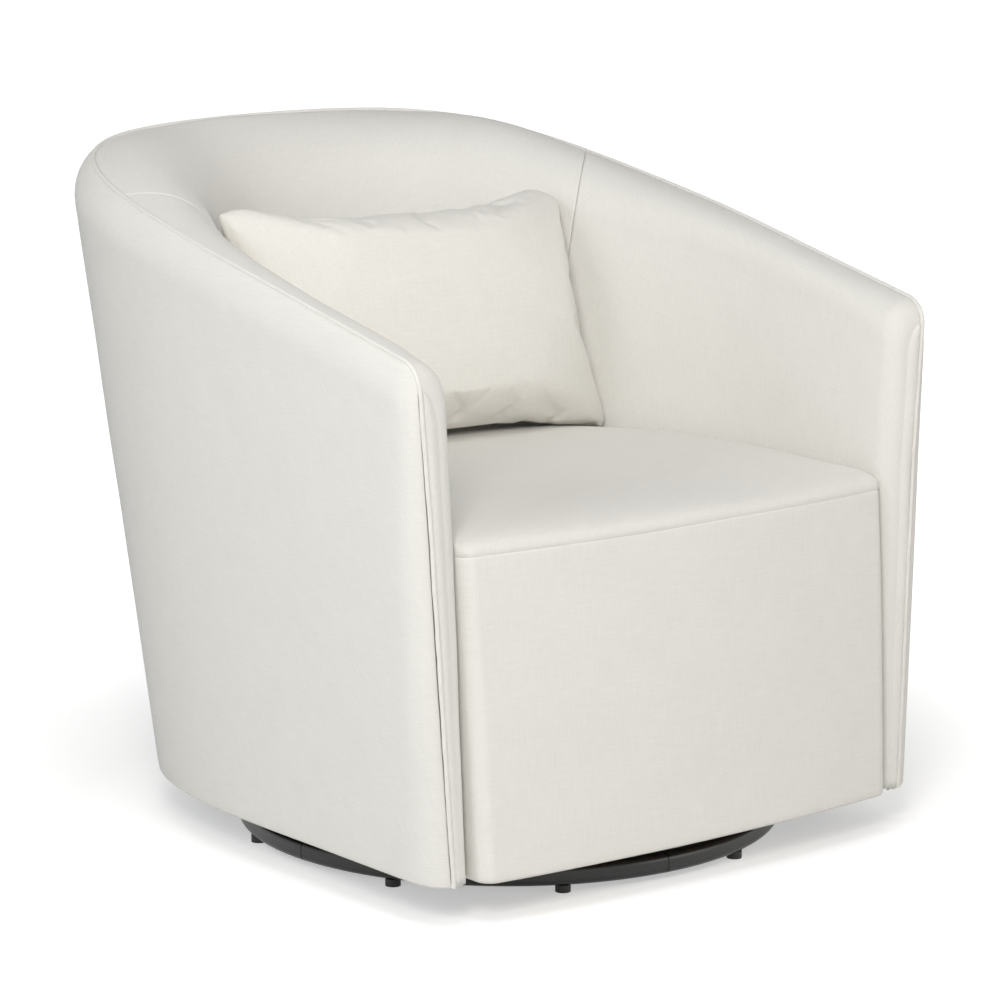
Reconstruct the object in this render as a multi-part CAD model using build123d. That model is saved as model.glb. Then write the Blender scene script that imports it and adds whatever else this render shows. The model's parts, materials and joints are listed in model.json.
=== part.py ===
from build123d import *
import math
import os

# A barrel armchair on a swivel ring base, in millimetres, +Z up, its front towards -Y.
# The origin is on the floor, in the middle of the chair's outline. Most pieces are drawn
# about the swivel axis and moved back to that origin when they are written.

# Outline of the upholstered shell, as half widths and depths behind the barrel centre
BARREL_Y = -90.0
HEM_Z = 47.0
CREST_Z = 760.0
HEM_HALF = 342.0
HEM_DEPTH = 468.0
HEM_SQUARE = 3.5
CREST_HALF = 373.0
CREST_DEPTH = 590.0
CREST_SQUARE = 4.2
SEAT_EDGE_Z = 398.0
ARM_THICK_SEAT = 59.26
INNER_SEAT_DEPTH = 348.0
INNER_SEAT_SQUARE = 2.0
FOOT_SPREAD = 10.4
ARM_THICK_TOP = 55.0
INNER_CREST_DEPTH = 520.0
INNER_CREST_SQUARE = 2.1

# Top edge: it falls towards the arm fronts, and is drawn in and down a little at the back corners
TOP_SLOPE = 0.218
ARM_LIFT = 4.0
CORNER_DIP = 11.0
CORNER_INSET = 26.0
WELT_INSET = 16.0
FRONT_DRAW = 9.0
FOOT_DRAW = 19.0
SHOULDER = 46.0
ARM_ROLL_DROP = 38.0
BACK_ROLL_DROP = 84.0
ARM_FRONT_Y = -297.0
ARM_CORNER = 24.0
ARM_FRONT_ROUND = 34.0
SEAM_ANGLE = 47.0
SEAM_SLIT = 0.06
ARM_STEPS = 8
BACK_STEPS = 18

# Sheet and layer thicknesses, and the clearance between layers
FABRIC = 2.0
BACKING = 2.5
LAYER_GAP = 0.4
WELT_RADIUS = 2.6
WELT_SIDES = 6
TUCK_Z = 346.0
ARM_PAD = 10.0
ARM_RETURN = 56.0

# Timber frame
PANEL = 18.0
PANEL_Z = 52.5
FRAME_INSET = 12.0
FRAME = 20.0
INNER_BOARD = 5.0
RIB = 18.0
RAIL_COVER = 19.0
RAIL_DEEP = 52.0
POST_DEEP = 44.0
RIB_ANGLES = (36.0, 72.0, 108.0, 144.0)
SEAT_RAIL = 22.0
SEAT_RAIL_LOW = 262.0
SEAT_RAIL_TOP = 328.0
SEAT_RAIL_HALF = 266.0
SEAT_RAIL_FRONT_Y = -266.0
SEAT_RAIL_BACK_Y = 214.0
SEAT_LEG = 44.0
BACK_PAD = 104.0

# Seat springs, their clips and the pad over them
SPRINGS = 5
SPRING_PITCH = 96.0
SPRING_WIRE = 4.0
SPRING_WAVE = 60.0
SPRING_STEP = 36.0
CLIP_LONG = 16.0
CLIP_WIDE = 24.0
CLIP_TALL = 8.0
DECK_PAD = 5.0

# Seat and front panel
SEAT_CROWN = 26.0
CROWN_DRAW = 150.0
CROWN_SIDE = 0.7
CORNER_GROWTH = 0.27
CROWN_STEPS = 6
SEAT_FRONT_Y = -312.5
SEAT_SEAM_Z = 392.0
FRONT_SLOT = 2.0
FRONT_LOW_Y = -337.0
FRONT_BOW = 15.0
FRONT_CORNER = 18.0
FRONT_RETURN = 46.0
SEAT_GAP = 1.0
FRONT_PAD = 12.0
FRONT_BOARD = 12.0
TONGUE_HALF = 232.0
TONGUE_BACKSET = 19.0
DUST_COVER = 0.8
DUST_INSET = 14.0
PANEL_INSET = 9.5
PANEL_SETBACK = 10.0
NOTCH = 1.0

# Loose lumbar pillow, knife edged, leaning on the inside back
PILLOW_SIDE_ROOM = 63.0
PILLOW_TALL = 292.0
PILLOW_THICK = 122.0
PILLOW_PULL = 9.0
PILLOW_REST_PULL = 1.0
PILLOW_DRAW = 116.0
PILLOW_STEPS = 6
PILLOW_EDGE = 2.0
PILLOW_CORNER = 14.0
PILLOW_TILT = 21.3
PILLOW_BACK_ROOM = 100.66
PILLOW_SEAT_GAP = 0.27
PILLOW_FABRIC = 2.0
PILLOW_SLACK = 1.0

# Ring base and swivel
RING_RADIUS = 296.0
RING_SECTION = 22.0
RING_ROUND = 7.0
RING_LOW = 8.3
JOINT_GROOVE = 1.2
GROOVE_DEEP = 0.6
GLIDE_DIAMETER = 17.0
GLIDE_STEM = 7.0
GLIDE_STEM_LONG = 7.0
GLIDE_PAIRS = (-94.4, -176.2, 85.6, 3.8)
GLIDE_SPREAD = 22.8
BAR_WIDE = 40.0
BAR = 6.0
HUB_RADIUS = 108.0
HUB_PLATE = 3.0
RACE_RADIUS = 82.0
RACE_WIDE = 26.0
RACE_GAP = 4.2
BALL_RADIUS = 4.0
BALLS = 24
BALL_CLEAR = 0.08
CAGE = 1.4
CAGE_CLEAR = 0.25
TOP_PLATE = 3.0
TOP_PLATE_SIDE = 220.0
BOLT_PITCH = 172.0
BOLT_DIAMETER = 8.0
BOLT_HEAD = 13.0
BOLT_HEAD_TALL = 5.0
TEE_FLANGE = 20.0
TEE_PLATE = 1.6
TEE_WALL = 2.0
PIVOT_DIAMETER = 16.0
PIVOT_CLEAR = 0.08
BUSH_WALL = 3.0
FLANGE = 2.0
FLANGE_WIDE = 4.0
WASHER = 2.0
WASHER_FREE = 0.2
WASHER_RADIUS = 16.0
NUT_ACROSS = 24.0
NUT_TALL = 9.0
PANEL_HOLE = 26.0

# Heights stacked up from the ring, and the swivel axis seen from the origin
RING_TOP = RING_LOW + RING_SECTION
BAR_TOP = RING_TOP - RING_ROUND - 1.0
HUB_TOP = BAR_TOP + HUB_PLATE
TOP_PLATE_LOW = PANEL_Z - TOP_PLATE
BALL_Z = (HUB_TOP + TOP_PLATE_LOW) / 2
PANEL_TOP = PANEL_Z + PANEL
BACK_Y = BARREL_Y + CREST_DEPTH
SWIVEL_Y = -(FRONT_LOW_Y + BACK_Y) / 2
WELT_SEAT = WELT_RADIUS + LAYER_GAP
FRAME_FRONT_Y = ARM_FRONT_Y + ARM_PAD + 2 * LAYER_GAP
CLIP_TOP = SEAT_RAIL_TOP + CLIP_TALL
SEAT_LOW = CLIP_TOP + DECK_PAD + 2 * LAYER_GAP
BOARD_INSET = FABRIC + 2 * LAYER_GAP + FRONT_PAD
SEAT_SHARE = (SEAT_EDGE_Z - HEM_Z) / (CREST_Z - HEM_Z)
INNER_SEAT_HALF = HEM_HALF + (CREST_HALF - HEM_HALF) * SEAT_SHARE - ARM_THICK_SEAT
INNER_CREST_HALF = CREST_HALF - ARM_THICK_TOP
PILLOW_WIDE = 2 * (INNER_SEAT_HALF - PILLOW_SIDE_ROOM)


def save(name, shape):
    """Write one node, moved from the swivel axis to the chair's origin."""
    export_step(Pos(0, SWIVEL_Y, 0) * shape, f"parts/{name}.step")


def blend(low, high, share):
    return low + (high - low) * share


def reach(half, depth, square, angle):
    """Radius of a squared ellipse about the barrel centre, at an angle from +X."""
    across = abs(math.cos(angle)) / half
    along = abs(math.sin(angle)) / depth
    return (across**square + along**square) ** (-1 / square)


class Station:
    """One upright cut through the shell, out from the barrel centre or straight across an arm."""

    def __init__(self, angle, y=BARREL_Y):
        self.angle = math.radians(angle)
        self.y = y
        self.across = math.cos(self.angle)
        self.along = math.sin(self.angle)
        into_round = max(0.0, ARM_FRONT_Y + ARM_FRONT_ROUND - y) / ARM_FRONT_ROUND
        self.front = into_round**2
        self.hem = reach(HEM_HALF, HEM_DEPTH, HEM_SQUARE, self.angle)
        self.crest = reach(CREST_HALF, CREST_DEPTH, CREST_SQUARE, self.angle)
        self.seat = reach(INNER_SEAT_HALF, INNER_SEAT_DEPTH, INNER_SEAT_SQUARE, self.angle)
        self.inner = reach(INNER_CREST_HALF, INNER_CREST_DEPTH, INNER_CREST_SQUARE, self.angle)
        self.back = self.along**2
        self.corner = self.back * math.sin(2 * self.angle) ** 2
        edge_y = self.y + self.along * (self.crest - WELT_INSET)
        into_corner = max(0.0, ARM_FRONT_Y + ARM_CORNER - y)
        drop = ARM_CORNER - math.sqrt(max(0.0, ARM_CORNER**2 - into_corner**2))
        rise = ARM_LIFT * self.across**2 - CORNER_DIP * self.corner
        self.top = CREST_Z - TOP_SLOPE * (BACK_Y - WELT_INSET - edge_y) - drop + rise
        self.welt = self.welt_line(self.top)

    def plain(self, z):
        """Radius of the outside at a height, before it is drawn in at the arm front."""
        return blend(self.hem, self.crest, (z - HEM_Z) / (CREST_Z - HEM_Z))

    def draw(self, z):
        """How far the arm front is drawn in at a height, more at its foot."""
        return self.front * blend(FOOT_DRAW, FRONT_DRAW, (z - HEM_Z) / (CREST_Z - HEM_Z))

    def outer(self, z):
        """Radius of the outside of the shell at a height."""
        return self.plain(z) - self.draw(z)

    def welt_line(self, z):
        """Radius of the welt at a height, along the top edge or down an arm front."""
        foot = blend(FOOT_DRAW, FRONT_DRAW, (z - HEM_Z) / (CREST_Z - HEM_Z)) - FRONT_DRAW
        return self.plain(z) - WELT_INSET - CORNER_INSET * self.corner - self.front * foot

    def inside(self, z):
        """Radius of the inside face at a height, with the arms nearly upright below the seat."""
        below = max(0.0, SEAT_EDGE_Z - z) / (SEAT_EDGE_Z - HEM_Z)
        line = blend(self.seat, self.inner, (z - SEAT_EDGE_Z) / (CREST_Z - SEAT_EDGE_Z))
        return line + FOOT_SPREAD * self.across**2 * below

    def rail_face(self):
        """Radius of the top rail's inner face."""
        return self.outer(self.rail_low()) - FRAME_INSET - FRAME

    def rail_top(self):
        return self.top - RAIL_COVER

    def rail_low(self):
        return self.rail_top() - RAIL_DEEP

    def heel(self):
        """Radius of the padding's back at the tuck: shallow on the arms, deep at the back."""
        arm = self.outer(TUCK_Z) - FRAME_INSET - FRAME - INNER_BOARD - 2 * LAYER_GAP
        return min(arm, blend(arm, self.inside(TUCK_Z) + BACK_PAD, self.back))

    def board_line(self, z):
        """Radius of the padding's back at a height, from its heel up to the rail."""
        top = self.rail_face() - INNER_BOARD - 2 * LAYER_GAP
        return blend(self.heel(), top, (z - TUCK_Z) / (self.rail_top() - TUCK_Z))

    def roll_drop(self):
        return blend(ARM_ROLL_DROP, BACK_ROLL_DROP, self.back)

    def at(self, r, z):
        return Vector(self.across * r, self.y + self.along * r, z)

    def line(self, start, end):
        return Edge.make_line(self.at(*start), self.at(*end))

    def arc(self, start, middle, end):
        return Edge.make_three_point_arc(self.at(*start), self.at(*middle), self.at(*end))

    def ring(self, corners):
        """Closed straight-sided section through corners given as radius and height."""
        return Wire.make_polygon([self.at(*corner) for corner in corners])


def shoulder_arc(cut, inset):
    """Start, middle and end of the soft outer top edge, drawn in by an inset.

    The arc leaves the outside face without a kink and ends beside the welt.
    """
    start = Vector(cut.outer(cut.top - SHOULDER), cut.top - SHOULDER)
    end = Vector(cut.welt + WELT_SEAT + FABRIC, cut.top)
    rise = (Vector(cut.outer(cut.top), cut.top) - start).normalized()
    inward = Vector(-rise.Y, rise.X)
    along = (end - start).dot(rise)
    aside = (end - start).dot(inward)
    radius = (along**2 + aside**2) / (2 * aside)
    turn = 2 * math.atan2(aside, along)
    centre = start + inward * radius
    bend = []
    for share in (0.0, 0.5, 1.0):
        angle = turn * share
        point = centre + (rise * math.sin(angle) - inward * math.cos(angle)) * (radius - inset)
        bend.append((point.X, point.Y))
    return bend


def roll_arc(cut, inset):
    """Start, middle and end of the inner top roll, drawn in by an inset.

    The arc starts beside the welt and runs into the inside face without a kink.
    """
    low = cut.top - cut.roll_drop()
    start = Vector(cut.welt - WELT_SEAT, cut.top)
    end = Vector(cut.inside(low), low)
    fall = (Vector(cut.inside(low - 1), low - 1) - end).normalized()
    into_pad = Vector(-fall.Y, fall.X)
    step = start - end
    radius = step.dot(step) / (2 * step.dot(into_pad))
    centre = end + into_pad * radius
    middle = (start - centre) + (end - centre)
    spokes = [spoke.normalized() for spoke in (start - centre, middle, end - centre)]
    points = [centre + spoke * (radius - inset) for spoke in spokes]
    return [(point.X, point.Y) for point in points]


def wrap(cuts, section):
    """Solid carried round the shell through one closed section at each station."""
    return Solid.make_loft([section(cut) for cut in cuts], True)


def cover_section(cut):
    """Outside cover from the hem to the welt."""
    outer = shoulder_arc(cut, 0)
    inner = shoulder_arc(cut, FABRIC)
    foot = (cut.outer(HEM_Z), HEM_Z)
    inner_foot = (foot[0] - FABRIC, HEM_Z)
    return Wire([cut.line(foot, outer[0]), cut.arc(*outer), cut.line(outer[2], inner[2]),
                 cut.arc(*reversed(inner)), cut.line(inner[0], inner_foot), cut.line(inner_foot, foot)])


def backing_section(cut):
    """Stiff sheet under the outside cover, from the bottom panel to the shoulder."""
    low = PANEL_Z + LAYER_GAP
    high = cut.top - SHOULDER
    inset = FABRIC + LAYER_GAP
    return cut.ring([(cut.outer(low) - inset, low), (cut.outer(high) - inset, high),
                     (cut.outer(high) - inset - BACKING, high), (cut.outer(low) - inset - BACKING, low)])


def skin_section(cut):
    """Inside cover from the welt over the roll to the tuck beside the seat."""
    outer = roll_arc(cut, 0)
    inner = roll_arc(cut, FABRIC)
    foot = (cut.inside(TUCK_Z), TUCK_Z)
    inner_foot = (foot[0] + FABRIC, TUCK_Z)
    return Wire([cut.arc(*outer), cut.line(outer[2], foot), cut.line(foot, inner_foot),
                 cut.line(inner_foot, inner[2]), cut.arc(*reversed(inner)), cut.line(inner[0], outer[0])])


def pad_section(cut):
    """Padding under the inside cover, lying over the rail at its top."""
    skin = roll_arc(cut, FABRIC + LAYER_GAP)
    foot = (cut.inside(TUCK_Z) + FABRIC + LAYER_GAP, TUCK_Z)
    heel = (cut.heel(), TUCK_Z)
    shelf = cut.rail_top() + LAYER_GAP
    corner = (cut.rail_face() - INNER_BOARD - 2 * LAYER_GAP, shelf)
    edge = (skin[0][0], shelf)
    return Wire([cut.arc(*skin), cut.line(skin[2], foot), cut.line(foot, heel), cut.line(heel, corner),
                 cut.line(corner, edge), cut.line(edge, skin[0])])


def board_section(cut):
    """Bent board behind the padding, from the tuck up to the top of the rail."""
    front = (cut.board_line(TUCK_Z) + LAYER_GAP, TUCK_Z)
    top = (cut.board_line(cut.rail_top()) + LAYER_GAP, cut.rail_top())
    return cut.ring([front, top, (top[0] + INNER_BOARD, top[1]), (front[0] + INNER_BOARD, front[1])])


def rail_section(cut):
    """Timber rail under the top edge."""
    outer = cut.outer(cut.rail_low()) - FRAME_INSET
    return cut.ring([(outer, cut.rail_low()), (outer, cut.rail_top()),
                     (cut.rail_face(), cut.rail_top()), (cut.rail_face(), cut.rail_low())])


def rib_section(cut):
    """Upright rib from the bottom panel to the rail, filling the room behind the bent board."""
    high = cut.rail_low() - LAYER_GAP
    behind = INNER_BOARD + 3 * LAYER_GAP
    low_face = cut.board_line(TUCK_Z) + behind
    high_face = cut.board_line(high) + behind
    return cut.ring([(cut.outer(PANEL_TOP) - FRAME_INSET, PANEL_TOP), (cut.outer(high) - FRAME_INSET, high),
                     (high_face, high), (low_face, TUCK_Z), (low_face, PANEL_TOP)])


def arm_front_section(cut):
    """Padding in front of an arm's post, between the outside and the inside covers."""
    low = HEM_Z + FABRIC
    high = cut.top - SHOULDER
    outer = FABRIC + ARM_PAD / 4
    behind = 3 * LAYER_GAP
    side = FABRIC + LAYER_GAP
    step = TUCK_Z - LAYER_GAP
    return cut.ring([(cut.outer(low) - outer, low), (cut.outer(high) - outer, high),
                     (cut.board_line(high) + behind, high), (cut.board_line(TUCK_Z) + behind, step),
                     (cut.inside(TUCK_Z) + side, step), (cut.inside(low) + side, low)])


def return_section(cut):
    """Inside cover below the seat, seen in the slot beside the front panel."""
    low = HEM_Z
    return cut.ring([(cut.inside(low), low), (cut.inside(TUCK_Z), TUCK_Z),
                     (cut.inside(TUCK_Z) + FABRIC, TUCK_Z), (cut.inside(low) + FABRIC, low)])


def turned(side, angle):
    """An angle on the right side, or its mirror on the left."""
    return angle if side > 0 else 180 - angle


def arm_cuts(side, front_ys):
    """Stations from an arm's front to its seam with the inside back."""
    straight = [Station(turned(side, 0), y) for y in front_ys + [(front_ys[-1] + BARREL_Y) / 2]]
    end = SEAM_ANGLE - SEAM_SLIT
    return straight + [Station(turned(side, end * k / ARM_STEPS)) for k in range(ARM_STEPS + 1)]


def back_cuts():
    """Stations across the back, from one seam to the other."""
    start = SEAM_ANGLE + SEAM_SLIT
    step = (180 - 2 * start) / BACK_STEPS
    return [Station(start + step * k) for k in range(BACK_STEPS + 1)]


CORNER_YS = [ARM_FRONT_Y, ARM_FRONT_Y + ARM_CORNER * 0.2, ARM_FRONT_Y + ARM_CORNER * 0.5,
             ARM_FRONT_Y + ARM_CORNER]
FRAME_YS = [FRAME_FRONT_Y, ARM_FRONT_Y + ARM_CORNER]


def shell_cuts(front_ys):
    """Stations round the whole shell, from one arm front to the other."""
    left = list(reversed(arm_cuts(-1, front_ys)))
    return arm_cuts(1, front_ys) + back_cuts()[1:-1] + left


def upright(angle):
    """Rib standing on the bottom panel at an angle round the shell."""
    spread = math.degrees(RIB / 2 / Station(angle).outer(SEAT_EDGE_Z))
    return wrap([Station(angle - spread), Station(angle + spread)], rib_section)


def arm_post(side):
    ends = (*FRAME_YS, FRAME_FRONT_Y + POST_DEEP)
    return wrap([Station(turned(side, 0), y) for y in ends], rib_section)


def arm_cover(side):
    """Inside arm cover, with the face that closes the arm's front down to the hem."""
    cut = Station(turned(side, 0), ARM_FRONT_Y)
    roll = roll_arc(cut, 0)
    foot = (cut.welt_line(HEM_Z) - WELT_SEAT, HEM_Z)
    heel = (cut.inside(HEM_Z), HEM_Z)
    edges = [cut.arc(*roll), cut.line(roll[2], heel), cut.line(heel, foot), cut.line(foot, roll[0])]
    face = extrude(Face(Wire(edges)), FABRIC, dir=(0, -1, 0))
    slot = wrap([cut, Station(turned(side, 0), ARM_FRONT_Y + ARM_RETURN)], return_section)
    return wrap(arm_cuts(side, CORNER_YS), skin_section) + face + slot


def arm_front_pad(side):
    ends = (ARM_FRONT_Y + LAYER_GAP, FRAME_FRONT_Y - LAYER_GAP)
    return wrap([Station(turned(side, 0), y) for y in ends], arm_front_section)


def welt():
    """Piping up one arm front, round the top edge and down the other arm front."""
    top_cuts = shell_cuts(CORNER_YS)
    points = []
    for cut in top_cuts:
        proud = max(0.0, ARM_FRONT_Y + ARM_CORNER - cut.y) / ARM_CORNER
        points.append(cut.at(cut.welt, cut.top) - Vector(0, WELT_RADIUS * proud, 0))
    front = top_cuts[0]
    foot = front.at(front.welt_line(HEM_Z), HEM_Z)
    foot -= Vector(0, WELT_RADIUS, 0)
    knee = blend(foot, points[0], 0.96)
    route = [foot, knee] + points
    route += [Vector(-p.X, p.Y, p.Z) for p in (knee, foot)]
    rings = []
    for k, point in enumerate(route):
        before = route[max(k - 1, 0)]
        after = route[min(k + 1, len(route) - 1)]
        ahead = (after - before).normalized()
        outward = Vector(point.X, point.Y - BARREL_Y, 0) if k else Vector(1, 0, 0)
        aside = ahead.cross(outward).normalized()
        plane = Plane(point, x_dir=ahead.cross(aside), z_dir=ahead)
        corners = []
        for n in range(WELT_SIDES):
            spoke = 2 * math.pi * (n + 0.5) / WELT_SIDES
            corner = (WELT_RADIUS * math.cos(spoke), WELT_RADIUS * math.sin(spoke))
            corners.append(plane.from_local_coords(corner))
        rings.append(Wire.make_polygon(corners))
    return Solid.make_loft(rings, True)


def barrel_face(z, inset, front):
    """Flat face of the shell's outline at a height, drawn in by an inset."""
    cuts = [Station(180 * k / 18) for k in range(19)]
    bend = Edge.make_spline([cut.at(cut.outer(z) - inset, z) for cut in cuts],
                            tangents=[Vector(0, 1, 0), Vector(0, -1, 0)])
    ends = [Vector(bend.position_at(k).X, front, z) for k in (0, 1)]
    sides = [Edge.make_line(ends[0], bend.position_at(0)), Edge.make_line(bend.position_at(1), ends[1])]
    return Face(Wire([sides[0], bend, sides[1], Edge.make_line(ends[1], ends[0])]))


COVER_BACK = FRONT_LOW_Y + FRONT_BOW + FRONT_CORNER + FRONT_RETURN
SEAT_HALF = Station(0).inside(TUCK_Z) - SEAT_GAP
SEAT_DEPTH = Station(90).inside(TUCK_Z) - SEAT_GAP - FABRIC
FRONT_HALF_LOW = Station(0).inside(HEM_Z) - FRONT_SLOT


def front_half(z):
    return blend(FRONT_HALF_LOW, SEAT_HALF, (z - HEM_Z) / (SEAT_SEAM_Z - HEM_Z))


def front_y(z):
    return blend(FRONT_LOW_Y, SEAT_FRONT_Y, (z - HEM_Z) / (SEAT_SEAM_Z - HEM_Z))


def front_edges(z, half, y, corner, back):
    """Left side, round corner, bowed front, round corner and right side at a height."""
    bow = FRONT_BOW * ((half - corner) / (SEAT_HALF - FRONT_CORNER)) ** 2
    right = (half - corner, y + bow, z)
    left = (corner - half, y + bow, z)
    side_y = y + bow + corner
    slant = corner * (1 - math.sqrt(0.5))
    near = y + bow + slant
    return [Edge.make_line((-half, back, z), (-half, side_y, z)),
            Edge.make_three_point_arc((-half, side_y, z), (slant - half, near, z), left),
            Edge.make_three_point_arc(left, (0, y, z), right),
            Edge.make_three_point_arc(right, (half - slant, near, z), (half, side_y, z)),
            Edge.make_line((half, side_y, z), (half, back, z))]


def board_back(z):
    """Back end of the front board and its padding at a height, just short of the front seat rail."""
    return front_y(z) + FRONT_BOW + BOARD_INSET + FRONT_BOARD + FRONT_CORNER / 4


def front_band(low, high, inset, thick, back_at):
    """Layer of the front panel between two heights, with its returns along both sides."""
    wires = []
    for z in (low, high):
        back = back_at(z)
        plans = []
        for draw in (inset, inset + thick):
            corner = FRONT_CORNER - min(draw, FRONT_CORNER * 0.8)
            plans.append(front_edges(z, front_half(z) - draw, front_y(z) + draw, corner, back))
        outer, inner = plans
        ends = [Edge.make_line(outer[-1] @ 1, inner[-1] @ 1), Edge.make_line(inner[0] @ 0, outer[0] @ 0)]
        wires.append(Wire(outer + [ends[0]] + inner + [ends[1]]))
    return Solid.make_loft(wires, True)


def seat_plan(z, half, depth, y, corner):
    """Plan of the seat at a height: the front panel's front, and a half ellipse at the back."""
    plane = Plane((0, BARREL_Y, z))
    edges = front_edges(z, half, y, corner, BARREL_Y)
    edges.append(Edge.make_ellipse(half, depth, plane, 0, 90))
    edges.append(Edge.make_ellipse(half, depth, plane, 90, 180))
    return Wire(edges)


def seat_crown(inset):
    """Crowned top of the seat above the seam, drawn in by an inset."""
    plans = []
    for k in range(CROWN_STEPS + 1):
        share = k / CROWN_STEPS
        z = SEAT_SEAM_Z + math.sin(math.pi / 2 * share**0.7) * (SEAT_CROWN - inset)
        draw = CROWN_DRAW * share**1.6
        corner = FRONT_CORNER - inset + CORNER_GROWTH * draw
        inward = inset + draw
        aside = inset + draw * CROWN_SIDE
        plans.append(seat_plan(z, SEAT_HALF - aside, SEAT_DEPTH - aside, SEAT_FRONT_Y + inward, corner))
    return Solid.make_loft(plans, True)


def seat_foam():
    inset = FABRIC + LAYER_GAP
    plans = []
    for z in (SEAT_LOW, SEAT_SEAM_Z):
        half = front_half(z) - inset
        plans.append(seat_plan(z, half, SEAT_DEPTH - inset, SEAT_FRONT_Y + inset, FRONT_CORNER - inset))
    return Solid.make_loft(plans, True) + seat_crown(inset)


def spring(x):
    """One zigzag seat spring between the front and the back rail."""
    start = SEAT_RAIL_FRONT_Y + SEAT_RAIL / 2
    end = SEAT_RAIL_BACK_Y + SEAT_RAIL / 2
    runs = 2 * round((end - start) / SPRING_STEP / 2)
    step = (end - start) / runs
    z = SEAT_RAIL_TOP + CLIP_TALL / 2
    points = []
    for k in range(runs + 1):
        way = SPRING_WAVE / 2 if k % 2 else -SPRING_WAVE / 2
        points += [(x + way, start + k * step, z), (x - way, start + k * step, z)]
    path = FilletPolyline(*points, radius=step * 0.45)
    return sweep(Plane(path @ 0, z_dir=path % 0) * Circle(SPRING_WIRE / 2), path)


def spring_xs():
    return [SPRING_PITCH * (k - (SPRINGS - 1) / 2) for k in range(SPRINGS)]


def clip(x, y):
    """Clip on a seat rail, with a tunnel for the end of a spring."""
    block = Pos(x, y, SEAT_RAIL_TOP + CLIP_TALL / 2) * Box(CLIP_WIDE, CLIP_LONG, CLIP_TALL)
    tunnel = Pos(x, y, SEAT_RAIL_TOP + CLIP_TALL / 2) * Rot(0, 90, 0)
    return block - tunnel * Cylinder(SPRING_WIRE / 2 + LAYER_GAP, 2 * CLIP_WIDE)


def slab(x0, x1, y0, y1, z0, z1):
    """Board between two corners."""
    middle = Pos((x0 + x1) / 2, (y0 + y1) / 2, (z0 + z1) / 2)
    return middle * Box(x1 - x0, y1 - y0, z1 - z0)


def pillow_plan(w, half_wide, half_tall, pull, corner):
    """Outline of the pillow at one level: four bowed sides and four round corners."""
    slant = corner * (1 - math.sqrt(0.5))
    signs = ((1, 1), (-1, 1), (-1, -1), (1, -1))
    edges = []
    for k, (sx, sy) in enumerate(signs):
        upright_end = (sx * half_wide, sy * (half_tall - corner), w)
        level_end = (sx * (half_wide - corner), sy * half_tall, w)
        ends = (upright_end, level_end) if k % 2 == 0 else (level_end, upright_end)
        middle = (sx * (half_wide - slant), sy * (half_tall - slant), w)
        edges.append(Edge.make_three_point_arc(ends[0], middle, ends[1]))
        if k % 2 == 0:
            side_end = (-sx * (half_wide - corner), sy * half_tall, w)
            side_middle = (0, sy * (half_tall - (pull if sy > 0 else min(pull, PILLOW_REST_PULL))), w)
        else:
            side_end = (sx * half_wide, -sy * (half_tall - corner), w)
            side_middle = (sx * (half_wide - pull), 0, w)
        edges.append(Edge.make_three_point_arc(ends[1], side_middle, side_end))
    return Wire(edges)


def pillow_form(inset):
    """Crowned pillow with drawn-in sides, all its faces drawn in by an inset."""
    tilt = math.radians(PILLOW_TILT)
    middle_z = SEAT_SEAM_Z + SEAT_CROWN + PILLOW_SEAT_GAP + PILLOW_TALL / 2 * math.cos(tilt)
    middle_y = BARREL_Y + Station(90).inside(middle_z) - PILLOW_BACK_ROOM - PILLOW_THICK / 2
    plans = []
    for k in range(PILLOW_STEPS + 1):
        share = k / PILLOW_STEPS
        draw = PILLOW_DRAW * share**1.3
        half_wide = PILLOW_WIDE / 2 - inset - draw
        half_tall = PILLOW_TALL / 2 - inset - draw
        corner = min(PILLOW_CORNER + 0.6 * draw, 0.8 * half_tall)
        swell = math.sin(math.pi / 2 * share**0.75)
        w = blend(PILLOW_EDGE, PILLOW_THICK / 2, swell) - inset * (0.5 + 0.5 * swell)
        plans.append((w, half_wide, half_tall, PILLOW_PULL * (1 - 2.6 * share), corner))
    rings = [pillow_plan(-w, *rest) for w, *rest in reversed(plans)]
    rings += [pillow_plan(w, *rest) for w, *rest in plans]
    plane = Plane((0, middle_y, middle_z), x_dir=(1, 0, 0), z_dir=(0, -math.cos(tilt), math.sin(tilt)))
    return plane.location * Solid.make_loft(rings, True)


def ring_section(size, round_by):
    return Plane.XZ * Pos(RING_RADIUS, RING_LOW + RING_SECTION / 2) * RectangleRounded(size, size, round_by)


def glide_angles():
    return [pair + turn for pair in GLIDE_PAIRS for turn in (-GLIDE_SPREAD, GLIDE_SPREAD)]


def base_ring():
    """Bent ring with shallow joint lines and a blind hole over each glide."""
    full = revolve(ring_section(RING_SECTION, RING_ROUND), Axis.Z)
    outline = ring_section(RING_SECTION + RING_ROUND, RING_ROUND)
    sliver = outline - ring_section(RING_SECTION - 2 * GROOVE_DEEP, RING_ROUND - GROOVE_DEEP)
    groove = revolve(sliver, Axis.Z, math.degrees(JOINT_GROOVE / RING_RADIUS))
    for angle in GLIDE_PAIRS:
        full -= Rot(0, 0, angle) * groove
    hole = Pos(RING_RADIUS, 0, RING_LOW) * Cylinder(GLIDE_STEM / 2, 2 * GLIDE_STEM_LONG)
    for angle in glide_angles():
        full -= Rot(0, 0, angle) * hole
    return full


def glide():
    foot = Pos(0, 0, RING_LOW / 2) * Cylinder(GLIDE_DIAMETER / 2, RING_LOW)
    stem = Pos(0, 0, RING_LOW + GLIDE_STEM_LONG / 2) * Cylinder(GLIDE_STEM / 2 - PIVOT_CLEAR, GLIDE_STEM_LONG)
    return Pos(RING_RADIUS, 0, 0) * (foot + stem)


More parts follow.
